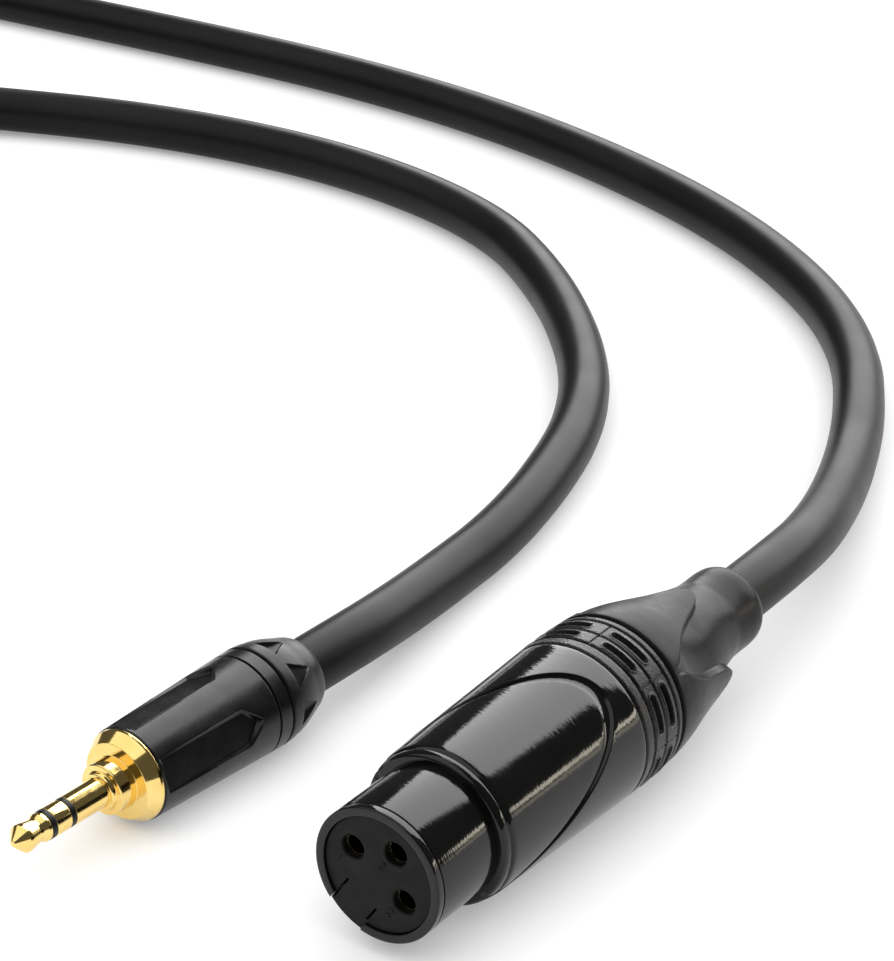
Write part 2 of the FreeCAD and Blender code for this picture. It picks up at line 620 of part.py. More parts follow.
def make_boot_sleeve():
    tail_r = COLLAR_TAIL_R + BOND_FIT
    tail_end_r = COLLAR_TAIL_END_R + BOND_FIT
    tail_end_t = COLLAR_TAIL_END_T + FACE_GAP
    lobe_end_t = sleeve_t(LOBE_SKIN_END)
    skin = turned((RUBBER_T, 0), [
        (RUBBER_T, SLEEVE_FRONT_R),
        ((sleeve_t(SLEEVE_MID), SLEEVE_MID_R), (lobe_end_t, LOBE_SKIN_END_R)),
        (lobe_end_t, 0)])
    lobes = [skin.common(prism) for prism in around(lobe_prism(), LOBES, LOBE_TURN)]
    band = skin.common(disc(FAR, RUBBER_T, sleeve_t(LOBE_SIDE[0][1])))
    side = []
    for step in BARREL_SIDE:
        line = isinstance(step[1], float)
        side.append(barrel_point(step) if line else tuple(barrel_point(point) for point in step))
    barrel = turned((side[0][0], 0), side + [(XLR_LENGTH, 0)])
    mouth_t = sleeve_t(BARREL_MOUTH)
    bore = turned((RUBBER_T - 1, 0), [
        (RUBBER_T - 1, tail_r), (RUBBER_T, tail_r), (tail_end_t, tail_end_r), (tail_end_t, BARREL_BORE_R),
        (mouth_t, BARREL_BORE_R), (XLR_LENGTH + 1, BARREL_MOUTH_R), (XLR_LENGTH + 1, 0)])
    return barrel.fuse([band] + lobes).cut(bore).removeSplitter()


def make_xlr_wire(angle, radius):
    """Core or screen from the jacket's end to the cup of a contact."""
    cup = contact_place(angle)
    start = V(cup).normalize() * CORE_SPREAD
    return wire_run(radius, [V(start.x, XLR_TAIL_T, start.z), V(start.x, XLR_TAIL_T - WIRE_LEAD, start.z),
                             V(cup.x, WIRE_BEND_T, cup.z),
                             V(cup.x, CUP_END_T - CUP_BORE_DEPTH + WIRE_SEAT, cup.z)])


def tube_radii():
    """Inner radii of the plug's nested tubes, from the rod outwards."""
    step = TUBE_WALL + SEAT_FIT
    return [ROD_R + SEAT_FIT + step * k for k in range(4)]


def make_plug_contacts():
    """Tip, ring and sleeve contacts with their insulators."""
    tip_tube, ring_tube, sleeve_tube, body_bore = tube_radii()
    clamp_end = TRS_SPIGOT_END_T + CLAMP_PLATE
    washer_end = clamp_end + WASHER_THICK
    ring_end = washer_end + LUG_THICK
    tip_plate = ring_end + TIP_LUG_GAP
    rod_end = tip_plate + LUG_THICK + RIVET
    parts = {}
    parts["trs_tip"] = turned((0, 0), TRS_TIP_NOSE + [
        (TRS_TIP_END_T - TRS_TIP_LAND, TRS_TIP_END_R), (TRS_TIP_END_T, TRS_TIP_END_R),
        (TRS_TIP_END_T, ROD_R), (rod_end, ROD_R), (rod_end, 0)])
    parts["trs_tip_insulator"] = turned((TRS_TIP_END_T, tip_tube), [
        (TRS_TIP_END_T, TRS_PIN_R), (TRS_RING_T, TRS_PIN_R), (TRS_RING_T, tip_tube + TUBE_WALL),
        (tip_plate, tip_tube + TUBE_WALL), (tip_plate, tip_tube)])
    parts["trs_ring"] = turned((TRS_RING_T, ring_tube), [
        (TRS_RING_T, TRS_PIN_R), (TRS_RING_END_T, TRS_PIN_R), (TRS_RING_END_T, ring_tube + TUBE_WALL),
        (ring_end, ring_tube + TUBE_WALL), (ring_end, ring_tube)])
    parts["trs_ring_insulator"] = turned((TRS_RING_END_T, sleeve_tube), [
        (TRS_RING_END_T, TRS_PIN_R), (TRS_SLEEVE_T, TRS_PIN_R),
        (TRS_SLEEVE_T, sleeve_tube + TUBE_WALL), (washer_end, sleeve_tube + TUBE_WALL),
        (washer_end, sleeve_tube)])
    parts["trs_body"] = turned((TRS_SLEEVE_T, body_bore), [
        (TRS_SLEEVE_T, TRS_PIN_R), (TRS_STEP_T, TRS_PIN_R), (TRS_STEP_T, TRS_STEP_R),
        (TRS_BOSS_T - TRS_EDGE, TRS_STEP_R), (TRS_BOSS_T, TRS_BOSS_R), (TRS_DISC_T - TRS_EDGE, TRS_BOSS_R),
        (TRS_DISC_T - TRS_EDGE, TRS_DISC_R - TRS_EDGE), (TRS_DISC_T, TRS_DISC_R),
        (TRS_BEVEL_T, TRS_FLANGE_R), (TRS_FLANGE_END_T, TRS_FLANGE_R), (TRS_FLANGE_END_T, TRS_SPIGOT_R),
        (TRS_SPIGOT_END_T, TRS_SPIGOT_R), (TRS_SPIGOT_END_T, body_bore)])
    plate = ring(CLAMP_R, body_bore, TRS_SPIGOT_END_T, clamp_end)
    jaw = ring(CLAMP_R, CABLE_R + SEAT_FIT, CLAMP_T, CLAMP_REAR_T).cut(
        block(-CLAMP_OPEN_HALF, CLAMP_OPEN_HALF, CLAMP_T - 1, CLAMP_REAR_T + 1, 0, FAR))
    strip = block(-CLAMP_STRIP_HALF, CLAMP_STRIP_HALF, TRS_SPIGOT_END_T, CLAMP_REAR_T, -FAR, 0).common(
        ring(CLAMP_R, CABLE_R + SEAT_FIT, TRS_SPIGOT_END_T, CLAMP_REAR_T))
    parts["trs_ground_clamp"] = plate.fuse([jaw, strip]).removeSplitter()
    parts["trs_rear_washer"] = ring(WASHER_R, body_bore, clamp_end, washer_end)
    ring_lug = disc(RING_LUG_R, washer_end, ring_end).fuse([
        block(-LUG_HALF, LUG_HALF, washer_end, ring_end, 0, RING_LUG_Z),
        block(-LUG_HALF, LUG_HALF, washer_end, RING_LUG_END_T, RING_LUG_Z - LUG_THICK, RING_LUG_Z)])
    parts["trs_ring_lug"] = ring_lug.cut(disc(ring_tube + TUBE_WALL + SEAT_FIT, 0, FAR)).removeSplitter()
    tip_lug = disc(TIP_LUG_R, tip_plate, tip_plate + LUG_THICK).fuse([
        block(-LUG_HALF, LUG_HALF, tip_plate, tip_plate + LUG_THICK, -TIP_LUG_Z, 0),
        block(-LUG_HALF, LUG_HALF, tip_plate, TIP_LUG_END_T, -TIP_LUG_Z, LUG_THICK - TIP_LUG_Z)])
    parts["trs_tip_lug"] = tip_lug.cut(disc(tip_tube, 0, FAR)).removeSplitter()
    return parts


def make_plug_cable_end():
    """Cable end, cores and screen in the plug."""
    tip_z = -TIP_LUG_Z + LUG_THICK + RUN_FIT + CORE_R
    ring_z = RING_LUG_Z - LUG_THICK - RUN_FIT - CORE_R
    screen_z = -CABLE_R + RUN_FIT + TRS_SCREEN_R
    return {
        "trs_cable_tail": disc(CABLE_R, TRS_TAIL_T, TRS_TAIL_END_T),
        "trs_wire_tip": wire_run(CORE_R, [V(0, TRS_TAIL_T, tip_z), V(0, TRS_WIRE_T, tip_z)]),
        "trs_wire_ring": wire_run(CORE_R, [V(0, TRS_TAIL_T, ring_z), V(0, TRS_WIRE_T, ring_z)]),
        "trs_shield": wire_run(TRS_SCREEN_R, [V(0, TRS_TAIL_T, screen_z), V(0, TRS_WIRE_T, screen_z)]),
    }


def plug_shell_r(t):
    """Outer radius of the plug's shell, which widens to the rear."""
    front = TRS_FLANGE_END_T + FACE_GAP
    return TRS_SHELL_R + (TRS_SHELL_REAR_R - TRS_SHELL_R) * (t - front) / (TRS_SHELL_END_T - front)


def make_plug_shell():
    front = TRS_FLANGE_END_T + FACE_GAP
    bore = TRS_SPIGOT_R + RUN_FIT
    line_end = TRS_LINE_T + TRS_LINE_WIDTH
    body = turned((front, bore), [
        (front, TRS_SHELL_R - TRS_SHELL_EDGE), (front + TRS_SHELL_EDGE, TRS_SHELL_R),
        (TRS_LINE_T, plug_shell_r(TRS_LINE_T)), (TRS_LINE_T, plug_shell_r(TRS_LINE_T) - TRS_LINE_DEPTH),
        (line_end, plug_shell_r(TRS_LINE_T) - TRS_LINE_DEPTH), (line_end, plug_shell_r(line_end)),
        (TRS_SHELL_END_T - TRS_SHELL_EDGE, TRS_SHELL_REAR_R),
        (TRS_SHELL_END_T, TRS_SHELL_REAR_R - TRS_SHELL_EDGE), (TRS_SHELL_END_T, bore)])
    flute = plan_prism([(-FLUTE_HALF, FLUTE_FRONT_T), (FLUTE_HALF, FLUTE_FRONT_T),
                        (FLUTE_HALF, FLUTE_SIDE_T), (0, FLUTE_POINT_T), (-FLUTE_HALF, FLUTE_SIDE_T)],
                       FLUTE_FLOOR_R, FAR)
    flute.rotate(V(0, FLUTE_FRONT_T, FLUTE_FLOOR_R), V(1, 0, 0), FLUTE_TAPER)
    return body.cut(around(flute, FLUTES, FLUTE_TURN))


def make_plug_cap():
    front = TRS_SHELL_END_T + CAP_GAP
    body = turned((CAP_SPIGOT_T, CAP_BORE_R), [
        (CAP_SPIGOT_T, TRS_SPIGOT_R), (front, TRS_SPIGOT_R), (front, TRS_SHELL_REAR_R - TRS_SHELL_EDGE),
        (front + TRS_SHELL_EDGE, TRS_SHELL_REAR_R), (CAP_ROUND_T, TRS_SHELL_REAR_R - RUN_FIT),
        ((CAP_SHOULDER_T, CAP_SHOULDER_R), (CAP_NECK_T, CAP_NECK_R)),
        (TRS_LENGTH - CAP_END_BEVEL, CAP_END_EDGE_R), (TRS_LENGTH, CAP_END_R), (TRS_LENGTH, CAP_BORE_R)])
    notch = plan_prism([(-NOTCH_HALF, NOTCH_T), (NOTCH_HALF, NOTCH_T), (0, NOTCH_POINT_T)],
                       NOTCH_FLOOR_R, FAR)
    return body.cut(around(notch, NOTCHES, NOTCH_TURN))


def cord_tube(points, name):
    """Tube along straight runs joined by tangent arcs, each as large as its two runs allow."""
    edges = []
    here = points[0]
    for before, corner, after in zip(points, points[1:], points[2:]):
        back = (before - corner).normalize()
        onward = (after - corner).normalize()
        shorter = min((corner - before).Length, (after - corner).Length)
        half_turn = (math.pi - back.getAngle(onward)) / 2
        radius = ARC_SHARE * shorter / math.tan(half_turn)
        start = corner + back * (ARC_SHARE * shorter)
        end = corner + onward * (ARC_SHARE * shorter)
        middle = (back + onward).normalize()
        centre_distance = radius / math.cos(half_turn)
        through = corner + middle * (centre_distance - radius)
        edges.append(Part.LineSegment(here, start).toShape())
        edges.append(Part.Arc(start, through, end).toShape())
        here = end
        print(f"{name}: corner {tuple(round(v, 1) for v in corner)} radius {radius:.0f} mm")
    edges.append(Part.LineSegment(here, points[-1]).toShape())
    path = Part.Wire(edges)
    section = Part.Wire(Part.makeCircle(CABLE_R, points[0], points[1] - points[0]))
    tube = path.makePipeShell([section], True, False)
    ratio = tube.Volume / (math.pi * CABLE_R ** 2 * path.Length)
    print(f"{name}: length {path.Length:.1f} mm, volume ratio {ratio:.4f}, valid {tube.isValid()}")
    return tube


def bundle_section(grow, floor_z, roof_z):
    """Bevelled section of the coil's bundle, standing in the plane through the coil's axis."""
    inner = COIL_MID_R - COIL_HALF_WIDTH - grow
    outer = COIL_MID_R + COIL_HALF_WIDTH + grow
    corners = [(inner + COIL_BEVEL, floor_z), (outer - COIL_BEVEL, floor_z),
               (outer, floor_z + COIL_BEVEL), (outer, roof_z - COIL_BEVEL),
               (outer - COIL_BEVEL, roof_z), (inner + COIL_BEVEL, roof_z),
               (inner, roof_z - COIL_BEVEL), (inner, floor_z + COIL_BEVEL)]
    points = [V(r, 0, z) for r, z in corners]
    return Part.Face(Part.makePolygon(points + points[:1]))


def make_coil_and_tie():
    up = V(0, 0, 1)
    bundle = bundle_section(0, 0, COIL_HEIGHT).revolve(CENTRE, up, 360)
    tie_angle = math.degrees(TIE_WIDTH / COIL_MID_R)
    outside = bundle_section(TIE_THICK, 0, COIL_HEIGHT + TIE_THICK).revolve(CENTRE, up, tie_angle)
    inside = bundle_section(0, TIE_THICK, COIL_HEIGHT).revolve(CENTRE, up, tie_angle)
    tie = outside.cut(inside)
    tie.rotate(CENTRE, up, TIE_ANGLE)
    coil = bundle.cut(tie)
    coil.translate(COIL_CENTRE)
    tie.translate(COIL_CENTRE)
    return coil, tie


def socket_connector():
    """Every piece of the socket connector, by node name."""
    keyed = {
        "xlr_housing": make_housing(),
        "xlr_insert": make_insert(),
        "xlr_ground_tab": make_ground_tab(),
        "xlr_latch": make_latch(),
        "xlr_latch_pin": make_latch_pin(),
        "xlr_latch_spring": make_latch_spring(),
        "xlr_chuck": make_chuck(),
        "xlr_cable_tail": disc(CABLE_R, XLR_TAIL_T, XLR_TAIL_END_T),
        "xlr_wire_hot": make_xlr_wire(CONTACT_ANGLES["xlr_contact_2"], CORE_R),
        "xlr_wire_cold": make_xlr_wire(CONTACT_ANGLES["xlr_contact_3"], CORE_R),
        "xlr_shield_braid": make_xlr_wire(CONTACT_ANGLES["xlr_contact_1"], SCREEN_R),
    }
    for name, angle in CONTACT_ANGLES.items():
        keyed[name] = make_contact(angle)
    nodes = {name: place_xlr(shape) for name, shape in keyed.items()}
    nodes["xlr_boot_collar"] = place_xlr(make_boot_collar(), keyed=False)
    nodes["xlr_boot_sleeve"] = place_xlr(make_boot_sleeve(), keyed=False)
    return nodes


def jack_plug():
    """Every piece of the plug, by node name."""
    pieces = make_plug_contacts()
    pieces.update(make_plug_cable_end())
    pieces["trs_liner"] = ring(LINER_R, LINER_BORE_R, LINER_T, LINER_REAR_T)
    pieces["trs_shell"] = make_plug_shell()
    pieces["trs_cap"] = make_plug_cap()
    return {name: place_trs(shape) for name, shape in pieces.items()}


def cable():
    """The two legs that the picture shows, the coil and its tie."""
    xlr_exit = V(0, XLR_TAIL_END_T - XLR_ORIGIN_T, XLR_AXIS_Z)
    xlr_lead = xlr_exit + V(0, XLR_LEAD, 0)
    trs_exit = place_trs(Part.Vertex(0, TRS_TAIL_END_T, 0)).Point
    trs_lead = place_trs(Part.Vertex(0, TRS_TAIL_END_T + TRS_LEAD, 0)).Point
    coil, tie = make_coil_and_tie()
    return {
        "cable_run_xlr": cord_tube([xlr_exit, xlr_lead] + XLR_CORNERS, "cable_run_xlr"),
        "cable_run_plug": cord_tube([trs_exit, trs_lead] + TRS_CORNERS, "cable_run_plug"),
        "cable_coil": coil,
        "coil_tie": tie,
    }


def single(shape):
    """The one solid that a shape holds."""
    return shape.Solids[0] if len(shape.Solids) == 1 else shape


os.makedirs("parts", exist_ok=True)
nodes = socket_connector()
nodes.update(jack_plug())
nodes.update(cable())
for name, shape in nodes.items():
    piece = single(shape)
    piece.exportStep(f"parts/{name}.step")
    print(f"{name}: {len(piece.Solids)} solid, {piece.Volume:.1f} mm3, valid {piece.isValid()}")
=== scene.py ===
"""Looks of an audio lead: a 3-pin socket connector, a black cable and a gold 3.5 mm plug.

Connector pieces are drawn in their own frame in millimetres: t runs back from the front end, r out
from the axis, and angles are in degrees, clockwise from straight up, seen from the front end.
"""

import logging
import math
from collections.abc import Callable, Sequence
from dataclasses import dataclass, field
from enum import Enum

import bmesh
import bpy
from bpy.types import Material, Mesh, Node, NodeSocket, NodeTree, Object
from mathutils import Matrix, Vector

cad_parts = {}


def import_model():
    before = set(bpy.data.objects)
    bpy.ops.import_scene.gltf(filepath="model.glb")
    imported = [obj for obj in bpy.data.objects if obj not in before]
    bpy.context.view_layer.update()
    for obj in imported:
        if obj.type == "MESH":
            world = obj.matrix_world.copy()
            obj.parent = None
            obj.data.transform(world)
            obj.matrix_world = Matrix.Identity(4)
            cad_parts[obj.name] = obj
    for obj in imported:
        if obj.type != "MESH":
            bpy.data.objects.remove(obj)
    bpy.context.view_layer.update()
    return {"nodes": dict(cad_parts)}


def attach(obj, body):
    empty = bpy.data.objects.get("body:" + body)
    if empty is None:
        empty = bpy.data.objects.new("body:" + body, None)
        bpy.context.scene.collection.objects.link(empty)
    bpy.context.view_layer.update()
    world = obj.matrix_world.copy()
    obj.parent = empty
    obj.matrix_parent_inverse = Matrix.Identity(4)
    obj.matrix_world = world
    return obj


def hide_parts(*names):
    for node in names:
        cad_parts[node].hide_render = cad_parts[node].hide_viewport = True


LOG = logging.getLogger("audio_lead")
MM = 0.001
FULL_TURN = 360.0

# Distances under which points of a mesh are one, and how far a cutting tool goes outwards and past a face.
JOIN = 0.002
FINE_JOIN = 0.0005
FAR = 30.0
PAST = 1.0

# Octaves and ranges of the noise that varies a finish.
PATCH_DETAIL = 4.0
SMUDGE_DETAIL = 3.0
SWELL_DETAIL = 2.0
PATCH_RANGE = (0.35, 0.65)
SMUDGE_RANGE = (0.3, 0.7)
SMUDGES_PER_PATCH = 3
WEAVE_SCALE = 0.3

Colour = tuple[float, float, float]
Station = tuple[float, float]
Corner = tuple[float, ...]
Given = dict[int | str, object]


class Slot(Enum):
    """Names of material slots, paired with the pieces' finishes but not used to give them."""

    SHELL = "socket_shell"
    CARRIER = "contact_carrier"
    CONTACT = "gold_contact"
    SPRING = "spring_steel"
    LATCH = "latch_metal"
    CLAMP = "clamp_plastic"
    COLLAR = "collar_plastic"
    BOOT = "boot_rubber"
    JACKET = "cable_jacket"
    RED_CORE = "core_red"
    WHITE_CORE = "core_white"
    COPPER = "copper"
    GOLD = "gold_plate"
    INSULATOR = "insulator"
    LINER = "liner_plastic"
    PLUG_SHELL = "plug_shell"
    PLUG_CAP = "plug_cap"
    TIE = "tie_fabric"


class Body(Enum):
    """Bodies of the frame that the pieces ride on."""

    ROOT = "root"
    LATCH = "latch"
    CLAMP = "clamp"
    BOOT = "boot"
    PLUG_LINER = "plug_liner"
    PLUG_SHELL = "plug_shell"


class Relief(Enum):
    """Kinds of fine relief that a finish can have."""

    SWELL = "soft swells, as in sprayed lacquer or a drawn jacket"
    PITTED = "small pits, as in a spark-eroded mould"
    WOVEN = "crossed threads"


@dataclass
class Wiring:
    """A node tree with a short way to add and join its nodes."""

    tree: NodeTree

    def feed(self, node: Node, given: Given) -> Node:
        """Set or join the inputs of a node.

        Args:
            node: The node.
            given: A value, a socket or a node (its first output) for each input.

        Returns:
            The node.
        """
        for key, value in given.items():
            source = value.outputs[0] if isinstance(value, Node) else value
            if isinstance(source, NodeSocket):
                self.tree.links.new(source, node.inputs[key])
            else:
                node.inputs[key].default_value = source
        return node

    def add(self, kind: str, given: Given | None = None, **settings: str) -> Node:
        """Add a node.

        Args:
            kind: Its type.
            given: A value, a socket or a node for each input that needs one.
            settings: Its own settings.

        Returns:
            The node.
        """
        node = self.tree.nodes.new(kind)
        for name, value in settings.items():
            setattr(node, name, value)
        return self.feed(node, given or {})


@dataclass(frozen=True)
class Finish:
    """A surface finish: its colours, its gloss and its fine relief."""

    name: str
    colour: Colour
    worn_colour: Colour
    roughness: Station
    relief: Relief = Relief.SWELL
    relief_size: float = 0.4
    relief_depth: float = 0.004
    stretch: Colour = (1.0, 1.0, 1.0)
    patch_size: float = 6.0
    metallic: float = 0.0
    ior: float = 1.5
    sheen: float = 0.0

    def material(self) -> Material:
        """The finish's material, made on first use.

        Returns:
            The Blender material.
        """
        found = bpy.data.materials.get(self.name)
        if found:
            return found
        made = bpy.data.materials.new(self.name)
        made.use_nodes = True
        wiring = Wiring(made.node_tree)
        place = wiring.add("ShaderNodeTexCoord").outputs["Object"]
        patches = self.noise(wiring, place, self.patch_size, PATCH_DETAIL)
        smudges = self.noise(wiring, place, self.patch_size / SMUDGES_PER_PATCH, SMUDGE_DETAIL)
        colour = wiring.add("ShaderNodeMix", {
            0: self.spread(wiring, patches, PATCH_RANGE, (0.0, 1.0)),
            6: (*self.colour, 1.0), 7: (*self.worn_colour, 1.0)}, data_type="RGBA")
        bump = wiring.add("ShaderNodeBump", {
            "Strength": 1.0, "Distance": self.relief_depth * MM, "Height": self.relief_height(wiring, place)})
        wiring.feed(made.node_tree.nodes["Principled BSDF"], {
            "Metallic": self.metallic, "IOR": self.ior, "Sheen Weight": self.sheen,
            "Base Color": colour.outputs[2], "Normal": bump,
            "Roughness": self.spread(wiring, smudges, SMUDGE_RANGE, self.roughness)})
        return made

    @staticmethod
    def noise(wiring: Wiring, place: object, size: float, detail: float) -> Node:
        """Noise of a patch size in millimetres, with octaves of finer detail."""
        return wiring.add("ShaderNodeTexNoise", {"Scale": 1 / (size * MM), "Detail": detail, "Vector": place})

    @staticmethod
    def spread(wiring: Wiring, value: Node, old: Station, new: Station) -> Node:
        """Map a value from its old range to a new one, clamped at both ends."""
        return wiring.add("ShaderNodeMapRange", {
            "Value": value, "From Min": old[0], "From Max": old[1], "To Min": new[0], "To Max": new[1]})

    def relief_height(self, wiring: Wiring, place: NodeSocket) -> Node:
        """Height of the fine relief.

        Args:
            wiring: The material's wiring.
            place: The object's coordinates.

        Returns:
            The node that gives the height, from 0 to 1.
        """
        stretched = wiring.add("ShaderNodeMapping", {"Scale": self.stretch, "Vector": place})
        fineness = 1 / (self.relief_size * MM)
        if self.relief is Relief.SWELL:
            return self.noise(wiring, stretched, self.relief_size, SWELL_DETAIL)
        if self.relief is Relief.PITTED:
            return wiring.add("ShaderNodeTexVoronoi", {"Scale": fineness, "Vector": stretched})
        threads = [wiring.add("ShaderNodeTexWave", {
            "Scale": WEAVE_SCALE * fineness, "Distortion": 1.0, "Vector": stretched},
            bands_direction=way).outputs["Fac"] for way in ("X", "Z")]
        return wiring.add("ShaderNodeMath", dict(enumerate(threads)), operation="MAXIMUM")


LACQUER = Finish("black_lacquer", (0.003, 0.003, 0.003), (0.005, 0.0048, 0.0045), (0.06, 0.11),
                 relief_size=0.3, relief_depth=0.013, stretch=(0.3, 1.0, 0.3), patch_size=14.0, ior=1.38)
GROOVE_BLACK = Finish("groove_black", (0.003, 0.003, 0.003), (0.005, 0.005, 0.005), (0.5, 0.65),
                      relief_size=0.2, relief_depth=0.006, ior=1.35)
CARRIER = Finish("moulded_carrier", (0.003, 0.003, 0.0027), (0.005, 0.0047, 0.0045), (0.45, 0.58),
                 relief=Relief.PITTED, relief_size=0.18, relief_depth=0.006, patch_size=5.0, ior=1.26)
# Gold of the socket's contacts: a real gold tint, darkened with painted shade of the deep contact holes.
SHADED_CONTACT_GOLD = Finish("contact_gold_painted_shade", (0.2, 0.17, 0.12), (0.15, 0.13, 0.09), (0.12, 0.22), relief_size=0.25,
                      relief_depth=0.0015, patch_size=3.0, metallic=1.0)
COLLAR_PLASTIC = Finish("hard_plastic", (0.006, 0.0055, 0.006), (0.01, 0.0095, 0.01), (0.2, 0.3),
                        relief=Relief.PITTED, relief_size=0.2, relief_depth=0.03, patch_size=4.0, ior=1.34)
RUBBER = Finish("soft_rubber", (0.007, 0.0067, 0.007), (0.011, 0.0105, 0.011), (0.25, 0.32),
                relief_size=0.14, relief_depth=0.003, patch_size=5.0, ior=1.185)
JACKET = Finish("matt_jacket", (0.006, 0.0057, 0.006), (0.009, 0.0085, 0.009), (0.34, 0.4),
                relief_size=0.5, relief_depth=0.003, patch_size=20.0, ior=1.215)
GOLD = Finish("polished_gold", (0.9, 0.68, 0.26), (0.86, 0.61, 0.2), (0.07, 0.15), relief_size=0.25,
              relief_depth=0.0015, patch_size=4.0, metallic=1.0)
SATIN_GOLD = Finish("satin_gold", (0.86, 0.63, 0.21), (0.82, 0.57, 0.16), (0.14, 0.22), relief_size=0.12,
                    relief_depth=0.002, patch_size=3.0, metallic=1.0)
INSULATOR = Finish("black_insulator", (0.004, 0.0035, 0.0035), (0.007, 0.006, 0.006), (0.3, 0.4),
                   relief_size=0.2, relief_depth=0.002, patch_size=2.0, ior=1.3)
BLACK_METAL = Finish("black_metal", (0.004, 0.0037, 0.004), (0.007, 0.0065, 0.007), (0.22, 0.3),
                     relief_size=0.12, relief_depth=0.003, patch_size=8.0, ior=1.36)
CAP_BLACK = Finish("cap_black", (0.005, 0.0047, 0.005), (0.009, 0.0085, 0.009), (0.26, 0.34),
                   relief_size=0.12, relief_depth=0.004, patch_size=5.0, ior=1.28)
STEEL = Finish("bright_steel", (0.6, 0.59, 0.57), (0.5, 0.49, 0.47), (0.22, 0.34), relief_size=0.15,
               relief_depth=0.002, patch_size=3.0, metallic=1.0)
LATCH_BLACK = Finish("latch_black", (0.01, 0.01, 0.01), (0.016, 0.016, 0.016), (0.22, 0.34),
                     relief_size=0.3, relief_depth=0.004, patch_size=3.0)
CLAMP_GREY = Finish("grey_plastic", (0.035, 0.035, 0.037), (0.05, 0.05, 0.052), (0.4, 0.55),
                    relief=Relief.PITTED, relief_size=0.2, relief_depth=0.006, patch_size=3.0)
LINER_BROWN = Finish("brown_plastic", (0.3, 0.25, 0.19), (0.36, 0.3, 0.22), (0.35, 0.5),
                     relief_size=0.3, relief_depth=0.004, patch_size=3.0)
RED_CORE = Finish("red_core", (0.42, 0.02, 0.02), (0.5, 0.035, 0.03), (0.35, 0.45), relief_size=0.3,
                  relief_depth=0.003, patch_size=2.0)
WHITE_CORE = Finish("white_core", (0.7, 0.69, 0.66), (0.62, 0.6, 0.56), (0.35, 0.45), relief_size=0.3,
                    relief_depth=0.003, patch_size=2.0)
COPPER = Finish("copper_braid", (0.78, 0.36, 0.2), (0.6, 0.25, 0.13), (0.3, 0.45),
                relief=Relief.WOVEN, relief_size=0.2, relief_depth=0.03, patch_size=1.0, metallic=1.0)
TIE_FABRIC = Finish("woven_strap", (0.008, 0.008, 0.0085), (0.014, 0.014, 0.0145), (0.75, 0.9),
                    relief=Relief.WOVEN, relief_size=0.5, relief_depth=0.12, patch_size=4.0, sheen=0.05)


@dataclass(frozen=True)
class Placement:
    """Where a connector's own frame lies in the lead's frame."""

    front: tuple[float, float, float]
    turn: float = 0.0

    def matrix(self) -> Matrix:
        """Matrix from the connector's millimetres to the lead's metres."""
        turned = Matrix.Rotation(math.radians(self.turn), 4, "Z")
        return Matrix.Scale(MM, 4) @ Matrix.Translation(Vector(self.front)) @ turned


SOCKET_PLACE = Placement((0.0, -35.8, 10.13))
PLUG_PLACE = Placement((-39.07, -48.62, 6.4), -3.39)


@dataclass(frozen=True)
class SmoothLine:
    """A line of radius along t that passes through its stations without overshoot."""

    stations: tuple[Station, ...]

    def slope(self, k: int) -> float:
        """Slope at a station, kept level where the line turns back.

        Args:
            k: Number of the station.

        Returns:
            The slope.
        """
        rises = []
        for a, b in ((k - 1, k), (k, k + 1)):
            if a >= 0 and b < len(self.stations):
                (t_a, r_a), (t_b, r_b) = self.stations[a], self.stations[b]
                rises.append((r_b - r_a) / (t_b - t_a))
        if len(rises) == 1:
            return rises[0]
        if rises[0] * rises[1] <= 0:
            return 0.0
        return 2 * rises[0] * rises[1] / (rises[0] + rises[1])

    def at(self, t: float) -> float:
        """Radius at t.

        Args:
            t: Distance from the front end.

        Returns:
            The radius.
        """
        if t <= self.stations[0][0]:
            return self.stations[0][1]
        if t >= self.stations[-1][0]:
            return self.stations[-1][1]
        k = max(i for i, (start, _) in enumerate(self.stations[:-1]) if start <= t)
        (t_a, r_a), (t_b, r_b) = self.stations[k], self.stations[k + 1]
        width = t_b - t_a
        x = (t - t_a) / width
        bend = (1 + 2 * x) * (1 - x) ** 2 * r_a + x ** 2 * (3 - 2 * x) * r_b
        return bend + width * (x * (1 - x) ** 2 * self.slope(k) - x ** 2 * (1 - x) * self.slope(k + 1))


def ease(x: float) -> float:
    """Smooth step from 0 at x = 0 to 1 at x = 1."""
    x = min(max(x, 0.0), 1.0)
    return x * x * (3 - 2 * x)


def steps(start: float, end: float, pitch: float) -> list[float]:
    """Even stations from start to end, about a pitch apart.

    Args:
        start: First station.
        end: Last station.
        pitch: Widest step.

    Returns:
        The stations, both ends included.
    """
    count = max(1, math.ceil(abs(end - start) / pitch))
    return [start + (end - start) * k / count for k in range(count + 1)]


def rounded(corners: Sequence[Corner], arc_steps: int = 4) -> list[Station]:
    """Outline with its corners rounded.

    Args:
        corners: Points (t, r), with the corner's radius as a third number where it is round.
        arc_steps: Faces on each round corner.

    Returns:
        The outline's points.
    """
    outline: list[Station] = []
    for k, corner in enumerate(corners):
        here = Vector(corner[:2])
        if len(corner) < 3:
            outline.append((here.x, here.y))
            continue
        back = Vector(corners[k - 1][:2]) - here
        onward = Vector(corners[(k + 1) % len(corners)][:2]) - here
        half = back.angle(onward) / 2
        reach = min(corner[2] / math.tan(half), 0.49 * back.length, 0.49 * onward.length)
        start = here + back.normalized() * reach
        end = here + onward.normalized() * reach
        for j in range(arc_steps + 1):
            x = j / arc_steps
            point = (1 - x) ** 2 * start + 2 * x * (1 - x) * here + x ** 2 * end
            outline.append((point.x, point.y))
    return outline


def polar(t: float, r: float, angle: float) -> Vector:
    """Point of a connector's frame from its distance, radius and angle."""
    turned = math.radians(angle)
    return Vector((r * math.sin(turned), t, r * math.cos(turned)))


